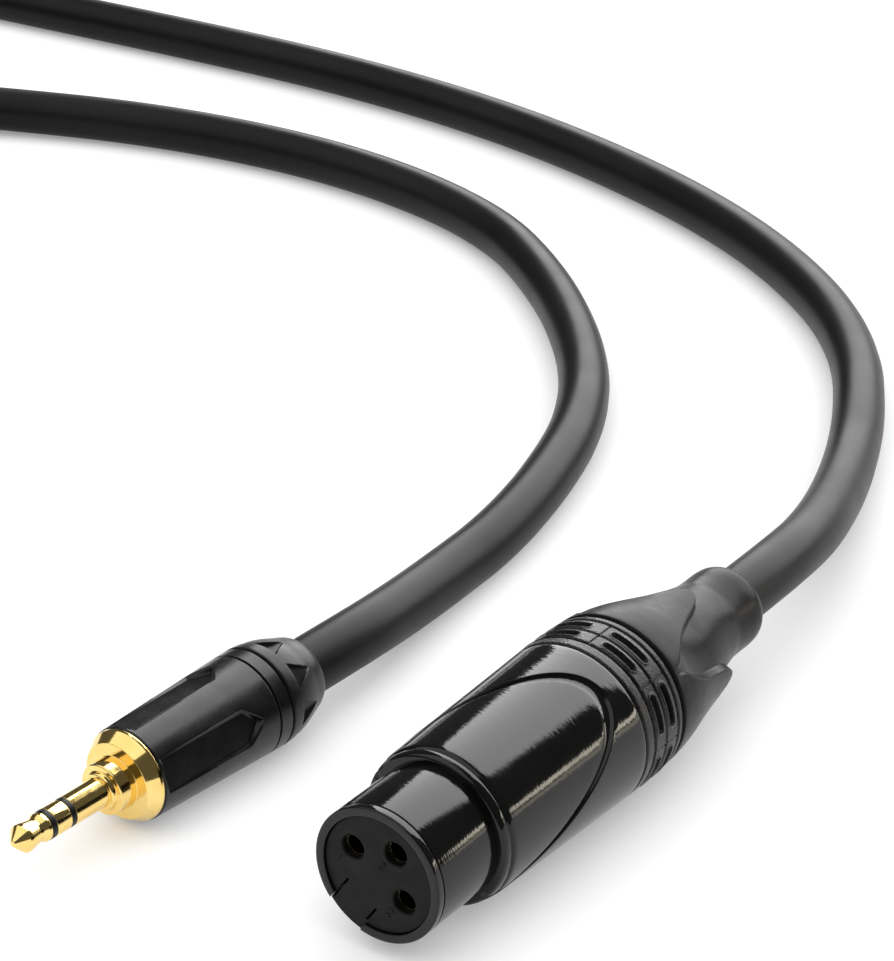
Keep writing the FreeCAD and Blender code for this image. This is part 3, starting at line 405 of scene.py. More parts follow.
def grid_mesh(columns: Sequence[Sequence[Vector]], full_turn: bool, matte: range = range(0)) -> Mesh:
    """Mesh of closed outlines side by side.

    Args:
        columns: Outlines with as many points each.
        full_turn: Whether the last outline meets the first.
        matte: Outline steps whose faces take the second material.

    Returns:
        The mesh.
    """
    count = len(columns[0])
    faces = []
    marks = []
    for j in range(len(columns) if full_turn else len(columns) - 1):
        after = (j + 1) % len(columns)
        for k in range(count):
            follow = (k + 1) % count
            faces.append((j * count + k, after * count + k, after * count + follow, j * count + follow))
            marks.append(1 if k in matte else 0)
    mesh = bpy.data.meshes.new("grid")
    mesh.from_pydata([point for column in columns for point in column], [], faces)
    mesh.polygons.foreach_set("material_index", marks)
    return mesh


def revolve(outline: Callable[[float], list[Station]], columns: int, matte: range = range(0)) -> Mesh:
    """Mesh turned about the axis from an outline that may change on the way.

    Args:
        outline: Gives the closed outline at an angle.
        columns: Faces round the axis.
        matte: Outline steps whose faces take the second material.

    Returns:
        The mesh.
    """
    angles = [FULL_TURN * j / columns for j in range(columns)]
    turns = [[polar(t, r, angle) for t, r in outline(angle)] for angle in angles]
    return grid_mesh(turns, True, matte)


def lathe(outline: list[Station], columns: int) -> Mesh:
    """Mesh turned about the axis from one closed outline."""
    return revolve(lambda _: outline, columns)


def block_mesh(low: Corner, high: Corner) -> Mesh:
    """Box from its lowest to its highest corner.

    Args:
        low: Lowest corner.
        high: Highest corner.

    Returns:
        The mesh.
    """
    shape = bmesh.new()
    bmesh.ops.create_cube(shape, size=1.0)
    for vertex in shape.verts:
        vertex.co = Vector([low[a] + (high[a] - low[a]) * (vertex.co[a] + 0.5) for a in range(3)])
    mesh = bpy.data.meshes.new("block")
    shape.to_mesh(mesh)
    shape.free()
    return mesh


def tidy_mesh(mesh: Mesh, join: float = JOIN) -> None:
    """Merge doubles, drop faces without area and turn every face outwards.

    Args:
        mesh: The mesh, in millimetres.
        join: Distance under which points are one.
    """
    shape = bmesh.new()
    shape.from_mesh(mesh)
    bmesh.ops.remove_doubles(shape, verts=shape.verts, dist=join)
    bmesh.ops.dissolve_degenerate(shape, edges=shape.edges, dist=join / 2)
    bmesh.ops.recalc_face_normals(shape, faces=shape.faces)
    shape.to_mesh(mesh)
    shape.free()


def show(name: str, mesh: Mesh) -> Object:
    """Put a mesh in the scene.

    Args:
        name: Name of the object.
        mesh: Its mesh.

    Returns:
        The object.
    """
    made = bpy.data.objects.new(name, mesh)
    bpy.context.scene.collection.objects.link(made)
    return made


def flatten(made: Object) -> None:
    """Turn an object's modifiers into plain mesh.

    Args:
        made: The object.
    """
    graph = bpy.context.evaluated_depsgraph_get()
    plain = bpy.data.meshes.new_from_object(made.evaluated_get(graph), depsgraph=graph)
    made.modifiers.clear()
    made.data = plain


def combine(made: Object, tools: Sequence[Mesh], operation: str) -> None:
    """Cut meshes from an object, or add them to it.

    Args:
        made: The object.
        tools: Closed meshes.
        operation: DIFFERENCE, UNION or INTERSECT.
    """
    helpers = []
    for tool in tools:
        helper = show("tool", tool)
        helpers.append(helper)
        modifier = made.modifiers.new("combine", "BOOLEAN")
        modifier.operation = operation
        modifier.solver = "EXACT"
        modifier.object = helper
    flatten(made)
    for helper in helpers:
        bpy.data.objects.remove(helper)


def complete(made: Object, place: Placement, finishes: Sequence[Finish], body: Body,
             replaced: Sequence[str], sharp: float = 38.0) -> Object:
    """Place, shade and dress a finished piece and tie it to the frame.

    Args:
        made: The object, with its mesh in its connector's millimetres.
        place: Where the connector lies.
        finishes: Its finishes, in the order of its faces' marks.
        body: The body that it rides on.
        replaced: The nodes that it stands for.
        sharp: Angle between faces over which an edge stays sharp.

    Returns:
        The object.
    """
    mesh = made.data
    mesh.transform(place.matrix())
    mesh.materials.clear()
    for finish in finishes:
        mesh.materials.append(finish.material())
    mesh.shade_smooth()
    mesh.set_sharp_from_angle(angle=math.radians(sharp))
    mesh.update()
    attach(made, body.value)
    if replaced:
        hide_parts(*replaced)
    LOG.info("%s: %d faces", made.name, len(mesh.polygons))
    return made


class SectorRing:
    """Geometry Nodes tree that repeats one sector about the connector's axis."""

    def __init__(self) -> None:
        """Build the tree with its named inputs."""
        self.tree = bpy.data.node_groups.new("sector_ring", "GeometryNodeTree")
        self.inputs: dict[str, str] = {}
        for name, kind in (("Sector", "NodeSocketGeometry"), ("Count", "NodeSocketInt"),
                           ("First angle", "NodeSocketFloat"), ("Join distance", "NodeSocketFloat"),
                           ("Finish", "NodeSocketMaterial")):
            socket = self.tree.interface.new_socket(name, in_out="INPUT", socket_type=kind)
            self.inputs[name] = socket.identifier
        self.tree.interface.new_socket("Ring", in_out="OUTPUT", socket_type="NodeSocketGeometry")
        wiring = Wiring(self.tree)
        given = wiring.add("NodeGroupInput").outputs
        line = wiring.add("GeometryNodeMeshLine", {"Offset": (0.0, 0.0, 0.0), "Count": given["Count"]})
        step = wiring.add("ShaderNodeMath", {0: math.tau, 1: given["Count"]}, operation="DIVIDE")
        index = wiring.add("GeometryNodeInputIndex")
        angle = wiring.add("ShaderNodeMath", {0: index, 1: step}, operation="MULTIPLY")
        turned = wiring.add("ShaderNodeMath", {0: angle, 1: given["First angle"]}, operation="ADD")
        euler = wiring.add("ShaderNodeCombineXYZ", {"Y": turned})
        rotation = wiring.add("FunctionNodeEulerToRotation", {0: euler})
        copies = wiring.add("GeometryNodeInstanceOnPoints", {
            "Points": line, "Instance": given["Sector"], "Rotation": rotation})
        real = wiring.add("GeometryNodeRealizeInstances", {0: copies})
        merged = wiring.add("GeometryNodeMergeByDistance", {
            "Geometry": real, "Distance": given["Join distance"]})
        dressed = wiring.add("GeometryNodeSetMaterial", {"Geometry": merged, "Material": given["Finish"]})
        wiring.add("NodeGroupOutput", {0: dressed})

    def make(self, name: str, count: int, first_angle: float, columns: int,
             outline: Callable[[float], list[Station]], finish: Finish) -> Object:
        """Repeat one sector into a closed ring of plain mesh.

        Args:
            name: Name of the piece.
            count: How many sectors fill the turn.
            first_angle: Angle of the first sector's middle.
            columns: Faces across a sector.
            outline: Gives the closed outline at an angle from the sector's middle.
            finish: The ring's finish.

        Returns:
            The piece, in its connector's millimetres.
        """
        angles = [FULL_TURN / count * (j / columns - 0.5) for j in range(columns + 1)]
        turns = [[polar(t, r, angle) for t, r in outline(angle)] for angle in angles]
        made = show(name, grid_mesh(turns, False))
        modifier = made.modifiers.new("ring", "NODES")
        modifier.node_group = self.tree
        modifier[self.inputs["Count"]] = count
        modifier[self.inputs["First angle"]] = math.radians(first_angle)
        modifier[self.inputs["Join distance"]] = JOIN
        modifier[self.inputs["Finish"]] = finish.material()
        flatten(made)
        tidy_mesh(made.data)
        return made


@dataclass(frozen=True)
class Role:
    """What a piece is called, how it is dressed, where it belongs and which node it stands for."""

    name: str
    place: Placement
    finish: Finish
    slot: Slot
    body: Body
    node: str
    sharp: float


@dataclass
class RingPiece:
    """A piece made of equal sectors about its connector's axis."""

    ring: SectorRing
    role: Role
    count: int
    middle: float
    columns: int
    stations: tuple[float, ...]
    inside: tuple[Station, ...]

    def skin_r(self, t: float, angle: float) -> float:
        """Radius of the skin at t and at an angle from a sector's middle, which each piece gives."""
        raise NotImplementedError

    def outline(self, angle: float) -> list[Station]:
        """Closed outline at an angle from a sector's middle."""
        return [*((t, self.skin_r(t, angle)) for t in self.stations), *self.inside]

    def build(self) -> Object:
        """Build and dress the piece.

        Returns:
            The piece.
        """
        role = self.role
        made = self.ring.make(role.name, self.count, self.middle, self.columns, self.outline, role.finish)
        return complete(made, role.place, (role.finish,), role.body, [role.node], role.sharp)


@dataclass(frozen=True)
class Thread:
    """A screw thread that fades out at both ends."""

    pitch: float
    depth: float
    span: Station
    fades: Station
    crest: float = 0.1
    flank: float = 0.25

    def cut(self, t: float, angle: float) -> float:
        """Depth of the thread at a point.

        Args:
            t: Distance from the front end.
            angle: Angle of the point.

        Returns:
            The depth.
        """
        phase = (t / self.pitch - angle / FULL_TURN) % 1.0
        ridge = ease((abs(phase - 0.5) - self.crest) / self.flank)
        fade = ease((t - self.span[0]) / self.fades[0]) * ease((self.span[1] - t) / self.fades[1])
        return self.depth * ridge * fade


@dataclass
class SocketShell:
    """Die-cast shell of the socket connector: keyed nose, body with its swept groove, threaded spigot."""

    columns: int = 240
    nose_r: float = 7.95
    bore_r: float = 6.9
    nose_length: float = 10.5
    length: float = 37.0
    spigot_r: float = 8.6
    spigot_end: float = 43.0
    rear_bore_r: float = 7.4
    carrier_end: float = 27.0
    spigot_bevel: float = 0.4
    shoulder_r: float = 9.3
    thread: Thread = Thread(1.25, 0.4, (37.3, 42.5), (0.5, 0.5))
    thread_step: float = 0.1
    bead_line: Station = (0.9, 1.15)
    bead_depth: float = 0.14
    bead_slope: float = 0.03
    bead_edges: Station = (0.05, 0.03)
    rim_edges: Station = (0.12, 0.2)
    foot_edge: float = 0.12
    groove_mid: float = 13.0
    groove_reach: float = 20.0
    groove_angle: float = 36.0
    groove_half: float = 0.95
    groove_depth: float = 0.42
    groove_edge: float = 0.13
    key_angle: float = 34.0
    key_half: float = 2.35
    channel_half: float = 2.4
    channel_front: float = 9.5
    channel_rear: float = 27.5
    channel_floor: float = -4.2
    channel_roof: float = -8.3
    window: tuple[float, float, float] = (3.3, 12.8, 20.9)
    skin: SmoothLine = SmoothLine((
        (10.5, 8.6), (10.56, 8.78), (10.66, 8.9), (10.85, 9.0), (11.15, 9.08), (11.45, 9.1), (11.6, 9.08),
        (11.72, 8.98), (11.84, 9.08), (12.0, 9.2), (12.25, 9.28), (12.6, 9.31), (34.3, 10.02), (36.3, 10.085),
        (36.7, 10.07), (36.92, 9.98), (37.0, 9.85)))
    body_middle: float = 20.0
    body_stations: tuple[float, ...] = (
        10.5, 10.52, 10.56, 10.61, 10.66, 10.75, 10.85, 11.0, 11.15, 11.3, 11.45, 11.54, 11.6, 11.66, 11.72,
        11.78, 11.84, 11.92, 12.0, 12.15, 12.3, 12.6, 13.0, 13.5, *steps(14.2, 36.0, 1.0), 36.3, 36.5, 36.62,
        36.75, 36.85, 36.93, 36.98, 37.0)
    groove_shape: tuple[Station, ...] = (
        (1.0, 0.0), (0.6, 0.015), (0.2, 0.07), (-0.2, 0.2), (-0.6, 0.42), (-1.0, 0.7), (-1.4, 0.9), (-1.9, 1.0))
    glossy_groove_steps: int = 4

    def groove_t(self, angle: float) -> float:
        """Where the middle of the groove lies at an angle."""
        return self.groove_mid + self.groove_reach * math.cos(math.radians(angle - self.groove_angle))

    def groove_stretch(self, angle: float) -> float:
        """How much longer a step across the groove is along t at an angle."""
        rise = self.groove_reach * math.sin(math.radians(angle - self.groove_angle))
        return math.hypot(1.0, rise / self.skin.at(self.body_middle))

    def sunk(self, t: float, angle: float) -> float:
        """Depth of the groove at a point of the skin.

        Args:
            t: Distance from the front end.
            angle: Angle of the point.

        Returns:
            The depth.
        """
        edge = self.groove_edge * self.groove_stretch(angle)
        across = (abs(t - self.groove_t(angle)) - self.groove_half) / edge
        if across >= 1.0:
            return 0.0
        for (x_a, d_a), (x_b, d_b) in zip(self.groove_shape, self.groove_shape[1:]):
            if across > x_b:
                return self.groove_depth * (d_a + (d_b - d_a) * (x_a - across) / (x_a - x_b))
        return self.groove_depth

    def nose_outline(self) -> list[Station]:
        """Outline of the nose, from its bore over the rim and the bead line to the body."""
        start, end = self.bead_line
        low = self.nose_r - self.bead_depth
        inner, outer = self.rim_edges
        top_edge, low_edge = self.bead_edges
        return rounded([(self.carrier_end, self.bore_r), (0.0, self.bore_r, inner), (0.0, self.nose_r, outer),
                        (start, self.nose_r, top_edge), (start + self.bead_slope, low, low_edge),
                        (end - self.bead_slope, low, low_edge), (end, self.nose_r, top_edge),
                        (self.nose_length, self.nose_r, self.foot_edge)])

    def outline(self, angle: float) -> list[Station]:
        """Closed outline of the shell at an angle.

        Args:
            angle: Angle of the outline.

        Returns:
            Its points, as many at each angle.
        """
        mid = self.groove_t(angle)
        edge = self.groove_edge * self.groove_stretch(angle)
        reach = self.groove_half + edge
        inside = [self.groove_half + x * edge for x, _ in self.groove_shape]
        across = [-x for x in inside] + [0.0] + inside[::-1]
        body = [max(self.nose_length, min(t, mid - reach)) for t in self.body_stations]
        body += [min(max(mid + x, self.nose_length), self.length) for x in across]
        body += [max(t, mid + reach) for t in self.body_stations]
        line = self.nose_outline()
        line += [(t, self.skin.at(t) - self.sunk(t, angle)) for t in body]
        line += [(self.length, self.shoulder_r), (self.length, self.spigot_r + self.thread_step / 2)]
        threaded = steps(self.length + self.thread_step, self.spigot_end - self.spigot_bevel, self.thread_step)
        line += [(t, self.spigot_r - self.thread.cut(t, angle)) for t in threaded]
        line += [(self.spigot_end, self.spigot_r - self.spigot_bevel), (self.spigot_end, self.rear_bore_r),
                 (self.carrier_end, self.rear_bore_r)]
        return line

    def matte_steps(self) -> range:
        """Steps of the outline that lie in the groove."""
        first = len(self.nose_outline()) + len(self.body_stations)
        return range(first + self.glossy_groove_steps,
                     first + 2 * len(self.groove_shape) - self.glossy_groove_steps)

    def cutters(self) -> list[Mesh]:
        """Tools for the key way, the latch's channel and the button's window."""
        half, front, rear = self.window
        tools = [
            block_mesh((-self.key_half, -PAST, -FAR),
                       (self.key_half, self.nose_length, self.channel_floor)),
            block_mesh((-self.channel_half, self.channel_front, self.channel_roof),
                       (self.channel_half, self.channel_rear, self.channel_floor)),
            block_mesh((-half, front, -FAR), (half, rear, self.channel_floor)),
        ]
        for tool in tools:
            tool.transform(Matrix.Rotation(math.radians(self.key_angle), 4, "Y"))
        return tools

    def build(self) -> Object:
        """Build and dress the shell."""
        mesh = revolve(self.outline, self.columns, self.matte_steps())
        tidy_mesh(mesh, FINE_JOIN)
        made = show("socket_shell", mesh)
        combine(made, self.cutters(), "DIFFERENCE")
        return complete(made, SOCKET_PLACE, (LACQUER, GROOVE_BLACK), Body.ROOT, ["xlr_housing"])


@dataclass
class ContactCarrier:
    """Moulded carrier in the nose, with its key rib, three contact holes and contact numbers."""

    columns: int = 160
    radius: float = 6.85
    front: float = 0.3
    rear: float = 27.0
    edge: float = 0.15
    rib_half: float = 2.3
    rib_rear: float = 6.2
    rib_r: float = 7.9
    slot_rear: float = 2.3
    slots: tuple[tuple[float, float, float, float], ...] = (
        (-2.3, -2.02, -7.2, -3.75), (2.02, 2.3, -5.95, -3.75))
    key_angle: float = 34.0
    channel_half: float = 2.4
    channel_front: float = 6.5
    channel_floor: float = -4.2
    hole_circle_r: float = 3.95
    hole_r: float = 1.4
    hole_chamfer: float = 0.14
    hole_columns: int = 48
    hole_angles: tuple[float, ...] = (-90.0, 90.0, 0.0)
    number_places: dict[str, Station] = field(
        default_factory=lambda: {"1": (-4.3, -2.76), "2": (3.6, -2.7), "3": (-0.2, 1.2)})
    number_size: float = 1.7
    number_height: float = 0.06

    def keyed(self, mesh: Mesh) -> Mesh:
        """Turn a mesh from the key's frame to the connector's."""
        mesh.transform(Matrix.Rotation(math.radians(self.key_angle), 4, "Y"))
        return mesh

    def hole(self, angle: float) -> Mesh:
        """Tool of one contact hole with its chamfered mouth.

        Args:
            angle: Angle of the hole from the key's top.

        Returns:
            The closed mesh.
        """
        start = self.front - PAST
        end = self.rear + PAST
        wide = self.hole_r + self.hole_chamfer
        mesh = lathe([(start, 0.0), (start, wide), (self.front, wide),
                              (self.front + self.hole_chamfer, self.hole_r), (end, self.hole_r),
                              (end, 0.0)], self.hole_columns)
        mesh.transform(Matrix.Translation(polar(0.0, self.hole_circle_r, angle)))
        tidy_mesh(mesh)
        return self.keyed(mesh)

    def block(self, low: Corner, high: Corner) -> Mesh:
        """Box from its lowest to its highest corner, turned to the key."""
        return self.keyed(block_mesh(low, high))

    def build(self) -> Object:
        """Build and dress the carrier."""
        made = show("contact_carrier", lathe(rounded([
            (self.front, 0.0), (self.front, self.radius, self.edge), (self.rear, self.radius),
            (self.rear, 0.0)]), self.columns))
        tidy_mesh(made.data)
        rib = show("rib", self.block((-self.rib_half, self.front, -FAR),
                                     (self.rib_half, self.rib_rear, self.channel_floor)))
        bounding = lathe([(self.front, 0.0), (self.front, self.rib_r), (self.rib_rear, self.rib_r),
                                   (self.rib_rear, 0.0)], self.columns)
        tidy_mesh(bounding)
        combine(rib, [bounding], "INTERSECT")
        combine(made, [rib.data], "UNION")
        bpy.data.objects.remove(rib)
        cutters = [self.block((-self.channel_half, self.channel_front, -FAR),
                              (self.channel_half, self.rear + PAST, self.channel_floor))]
        cutters += [self.block((left, -PAST, outer), (right, self.slot_rear, inner))
                    for left, right, outer, inner in self.slots]
        cutters += [self.hole(angle) for angle in self.hole_angles]
        combine(made, cutters, "DIFFERENCE")
        tidy_mesh(made.data, FINE_JOIN)
        return complete(made, SOCKET_PLACE, (CARRIER,), Body.ROOT, ["xlr_insert"], 25.0)

    def build_numbers(self) -> Object:
        """Build and dress the raised contact numbers."""
        shape = bmesh.new()
        facing = Matrix(((1, 0, 0, 0), (0, 0, -1, 0), (0, 1, 0, 0), (0, 0, 0, 1)))
        for text, (x, z) in self.number_places.items():
            curve = bpy.data.curves.new("number", "FONT")
            curve.body = text
            curve.size = self.number_size
            curve.align_x = "CENTER"
            curve.align_y = "CENTER"
            curve.extrude = self.number_height
            letter = bpy.data.objects.new("number", curve)
            mesh = bpy.data.meshes.new_from_object(letter)
            mesh.transform(Matrix.Translation(Vector((x, self.front, z))) @ facing)
            shape.from_mesh(mesh)
            bpy.data.objects.remove(letter)
        merged = bpy.data.meshes.new("contact_numbers")
        shape.to_mesh(merged)
        shape.free()
        tidy_mesh(merged)
        made = show("contact_numbers", self.keyed(merged))
        return complete(made, SOCKET_PLACE, (CARRIER,), Body.ROOT, [])


@dataclass
class BootCollar(RingPiece):
    """Hard screw collar behind the shell: a bead, two bands of slotted cells and a rim."""

    role: Role = Role("boot_collar", SOCKET_PLACE, COLLAR_PLASTIC, Slot.COLLAR, Body.BOOT, "xlr_boot_collar",
                      50.0)
    count: int = 8
    middle: float = 28.0
    columns: int = 84
    stations: tuple[float, ...] = (
        *steps(37.1, 38.7, 0.1), *steps(38.92, 43.5, 0.085), *steps(43.82, 44.62, 0.08))
    inside: tuple[Station, ...] = (
        (44.65, 9.5), (45.3, 9.5), (45.3, 8.6), (58.05, 5.6), (58.05, 4.0), (49.6, 4.0), (49.6, 4.66),
        (43.4, 5.97), (43.4, 8.65), (37.1, 8.65))
    radius: float = 10.1
    bead: Station = (37.1, 38.7)
    bands: tuple[Station, Station] = ((38.92, 41.0), (41.2, 43.5))
    rim: Station = (43.82, 44.62)
    rim_r: float = 10.04
    gap_r: float = 9.8
    line_r: float = 9.5
    split_half: float = 0.09
    split_depth: float = 0.16
    split_edge: float = 0.08
    edge: float = 0.16
    bead_edge: float = 0.352
    slot_half: float = 0.5
    slot_depth: float = 0.5
    slot_edge: float = 0.14
    slot_rim: float = 0.07
    rim_outside: Station = (0.3, 0.15)
    rim_inside: Station = (0.02, 0.05)
    slots: tuple[tuple[float, float, float], ...] = ((42.3, 5.0, 34.5), (39.95, 7.0, 34.0))

    def base_r(self, t: float) -> float:
        """Radius of the collar's skin before its slots and split lines.

        Args:
            t: Distance from the front end.

        Returns:
            The radius.
        """
        bands = [(band, self.radius, self.edge) for band in self.bands]
        for (start, end), top, edge in (
                (self.bead, self.radius, self.bead_edge), *bands, (self.rim, self.rim_r, self.edge)):
            if start <= t <= end:
                inward = min(t - start, end - t) / edge
                drop = 1 - math.sqrt(max(0.0, 1 - max(0.0, 1 - inward) ** 2))
                return top - drop * (top - self.gap_r)
        return self.gap_r if t < self.rim[1] else self.line_r

    def skin_r(self, t: float, angle: float) -> float:
        """Radius of the collar's skin, slots and split lines included.

        Args:
            t: Distance from the front end.
            angle: Angle from the middle of the cell.

        Returns:
            The radius.
        """
        r = self.base_r(t)
        if not self.bands[0][0] <= t <= self.bands[1][1]:
            return r
        along = math.radians(angle) * self.radius
        half_cell = math.pi * self.radius / self.count
        if r > self.gap_r + self.split_edge / 2:
            to_split = half_cell - abs(along) - self.split_half
            r -= self.split_depth * (1 - ease(to_split / self.split_edge))
        for t_mid, start, end in self.slots:
            first = math.radians(start) * self.radius - half_cell + self.slot_half
            last = math.radians(end) * self.radius - half_cell - self.slot_half
            nearest = min(max(along, first), last)
            inside = self.slot_half - math.hypot(along - nearest, t - t_mid)
            outer, inner = ((inside + start) / span for start, span in (self.rim_outside, self.rim_inside))
            r += self.slot_rim * ease(outer) * (1 - ease(inner))
            r -= self.slot_depth * ease(inside / self.slot_edge)
        return r


@dataclass
class BootSleeve(RingPiece):
    """Rubber bend relief: four long tongues over a tapering barrel."""

    role: Role = Role("boot_sleeve", SOCKET_PLACE, RUBBER, Slot.BOOT, Body.BOOT, "xlr_boot_sleeve", 60.0)
    count: int = 4
    middle: float = 12.0
    columns: int = 88
    tip: float = 59.9
    skin: SmoothLine = SmoothLine((
        (45.3, 9.9), (45.45, 9.98), (47.9, 9.78), (50.3, 9.42), (52.5, 8.97), (54.9, 8.5), (57.4, 8.12),
        (60.6, 7.7)))
    barrel: SmoothLine = SmoothLine((
        (45.3, 9.9), (45.45, 9.98), (46.4, 9.8), (48.0, 9.3), (50.0, 8.5), (52.5, 7.75), (55.0, 7.25),
        (57.5, 6.9), (60.0, 6.4), (62.0, 5.95), (64.0, 5.55), (65.6, 5.32), (67.5, 5.28), (69.0, 5.3),
        (70.2, 5.24), (70.9, 5.05), (71.3, 4.8), (71.5, 4.55), (71.6, 4.2)))
    half_angles: SmoothLine = SmoothLine((
        (45.3, 45.0), (47.2, 43.5), (49.1, 37.0), (51.5, 29.0), (55.1, 21.5), (57.5, 17.0), (58.8, 13.0),
        (59.5, 9.0), (59.8, 5.0), (59.9, 0.0)))
    stations: tuple[float, ...] = (
        45.3, 45.34, 45.4, *steps(45.5, 57.5, 0.28), *steps(57.65, 60.5, 0.1), *steps(60.8, 70.2, 0.35), 70.4,
        70.6, 70.9, 71.1, 71.3, 71.42, 71.5, 71.56, 71.6)
    step_width: float = 0.55
    lean_span: float = 0.4
    inside: tuple[Station, ...] = ((71.6, 4.0), (68.0, 3.75), (58.16, 3.75), (58.16, 5.63), (45.3, 8.63))

    def skin_r(self, t: float, angle: float) -> float:
        """Radius of the sleeve's skin.

        Args:
            t: Distance from the front end.
            angle: Angle from the middle of a lobe.

        Returns:
            The radius.
        """
        low = self.barrel.at(t)
        if t >= self.tip:
            return low
        high = self.skin.at(t)
        half = self.half_angles.at(t)
        reach = math.radians(half - abs(angle)) * high
        before, after = (self.half_angles.at(t + side * self.lean_span / 2) for side in (-1, 1))
        lean = math.radians(before - after) * high / self.lean_span
        inside = reach / math.hypot(1.0, lean)
        return low + (high - low) * ease(inside / self.step_width)


@dataclass
class PlugContacts:
    """Gold tip, ring and sleeve contacts of the plug with the two black rings between them."""

    columns: int = 96
    tube_wall: float = 0.25
    rod_r: float = 0.45
    rod_end: float = 28.0
    tube_gap: float = 0.02
    pin_r: float = 1.75
    ring: Station = (5.3, 7.5)
    ring_r: float = 1.74
    tip_end: float = 4.55
    sleeve_front: float = 8.28
    pin_edge: float = 0.06
    ring_edge: float = 0.05
    shoulder: Corner = (13.3, 0.1)
    tube_ends: tuple[float, float, float] = (27.4, 26.3, 26.0)
    tip: tuple[Corner, ...] = (
        (0.0, 0.0), (0.0, 0.35, 0.25), (1.3, 1.66, 0.12), (1.75, 1.66, 0.3), (3.1, 1.42, 0.3),
        (3.5, 1.42, 0.3), (4.1, 1.7, 0.1), (4.55, 1.7, 0.08))
    boss: tuple[Corner, ...] = (
        (13.3, 2.25, 0.3), (13.85, 2.35, 0.1), (13.9, 3.1, 0.25), (16.3, 3.1, 0.1), (16.3, 4.62, 0.12),
        (16.45, 4.72, 0.06), (17.7, 5.55, 0.1), (18.1, 5.6, 0.08), (18.1, 4.6))
    spigot: Station = (4.5, 25.0)
    spigot_bevel: float = 0.2
    thread: Thread = Thread(0.75, 0.25, (18.3, 24.7), (0.4, 0.3))
    thread_front: float = 18.15
    thread_step: float = 0.08
    satin_from_r: float = 5.0

    def turned(self, name: str, outline: list[Station], finish: Finish, slot: Slot) -> Object:
        """Turn, dress and tie one piece of the plug.

        Args:
            name: Name of the node that it stands for.
            outline: Its closed outline.
            finish: Its finish.
            slot: Its material slot; not used.

        Returns:
            The piece.
        """
        mesh = lathe(outline, self.columns)
        tidy_mesh(mesh, FINE_JOIN)
        made = show(name.replace("trs_", "plug_"), mesh)
        return complete(made, PLUG_PLACE, (finish,), Body.ROOT, [name], 30.0)

    def bore(self, layer: int) -> float:
        """Bore of the tube that lies so many layers out from the tip's rod."""
        return self.rod_r + self.tube_gap + layer * (self.tube_wall + self.tube_gap)

    def tube(self, layer: int, start: float, end: float, r: float, edge: float) -> list[Station]:
        """Outline of a collar with the tube behind it.

        Args:
            layer: How many tubes lie inside it.
            start: Front end of the collar.
            end: Rear end of the collar.
            r: Radius of the collar.
            edge: Rounding of its two edges.

        Returns:
            The closed outline.
        """
        bore = self.bore(layer)
        wall = bore + self.tube_wall
        rear = self.tube_ends[layer]
        return rounded([(start, bore), (start, r, edge), (end, r, edge), (end, wall), (rear, wall),
                        (rear, bore)])

    def build_tip(self) -> Object:
        """Pointed tip with its waist and flare."""
        return self.turned("trs_tip", rounded([
            *self.tip, (self.tip_end, self.rod_r), (self.rod_end, self.rod_r), (self.rod_end, 0.0)]),
            GOLD, Slot.GOLD)

    def build_rings(self) -> list[Object]:
        """Ring contact and the insulating rings at its two ends."""
        start, end = self.ring
        front = self.tube(0, self.tip_end, start, self.ring_r, self.ring_edge)
        rear = self.tube(2, end, self.sleeve_front, self.ring_r, self.ring_edge)
        return [self.turned("trs_tip_insulator", front, INSULATOR, Slot.INSULATOR),
                self.turned("trs_ring", self.tube(1, start, end, self.pin_r, self.pin_edge), GOLD, Slot.GOLD),
                self.turned("trs_ring_insulator", rear, INSULATOR, Slot.INSULATOR)]

    def body_front(self) -> list[Station]:
        """Outline of the sleeve contact from its front bore to its flange."""
        foot, foot_edge = self.shoulder
        return rounded([(self.sleeve_front, self.bore(3)), (self.sleeve_front, self.pin_r, self.pin_edge),
                        (foot, self.pin_r, foot_edge), *self.boss])

    def body_outline(self, angle: float) -> list[Station]:
        """Closed outline of the sleeve contact at an angle."""
        radius, end = self.spigot
        threaded = steps(self.thread_front, end - self.spigot_bevel, self.thread_step)
        return [*self.body_front(), *((t, radius - self.thread.cut(t, angle)) for t in threaded),
                (end, radius - self.spigot_bevel), (end, self.bore(3))]

    def build_body(self) -> Object:
        """Sleeve contact with its steps, disc, bevel and threaded spigot."""
        front = self.body_front()
        satin_from = next(k for k, (_, r) in enumerate(front) if r > self.satin_from_r)
        mesh = revolve(self.body_outline, self.columns, range(satin_from, len(front)))
        tidy_mesh(mesh, FINE_JOIN)
        made = show("plug_body", mesh)
        return complete(made, PLUG_PLACE, (GOLD, SATIN_GOLD), Body.ROOT, ["trs_body"], 30.0)

    def build(self) -> list[Object]:
        """Build and dress every contact and insulating ring."""
        return [self.build_tip(), *self.build_rings(), self.build_body()]


def within(points: Sequence[Station], x: float, y: float) -> float:
    """How far a point lies inside a convex outline, negative outside.

    Args:
        points: The outline's corners, clockwise.
        x: The point's place across.
        y: The point's place along.

    Returns:
        Distance to the nearest side.
    """
    depths = []
    for (x_a, y_a), (x_b, y_b) in zip(points, [*points[1:], points[0]]):
        across, along = x_b - x_a, y_b - y_a
        depths.append(((x - x_a) * along - (y - y_a) * across) / math.hypot(across, along))
    return min(depths)


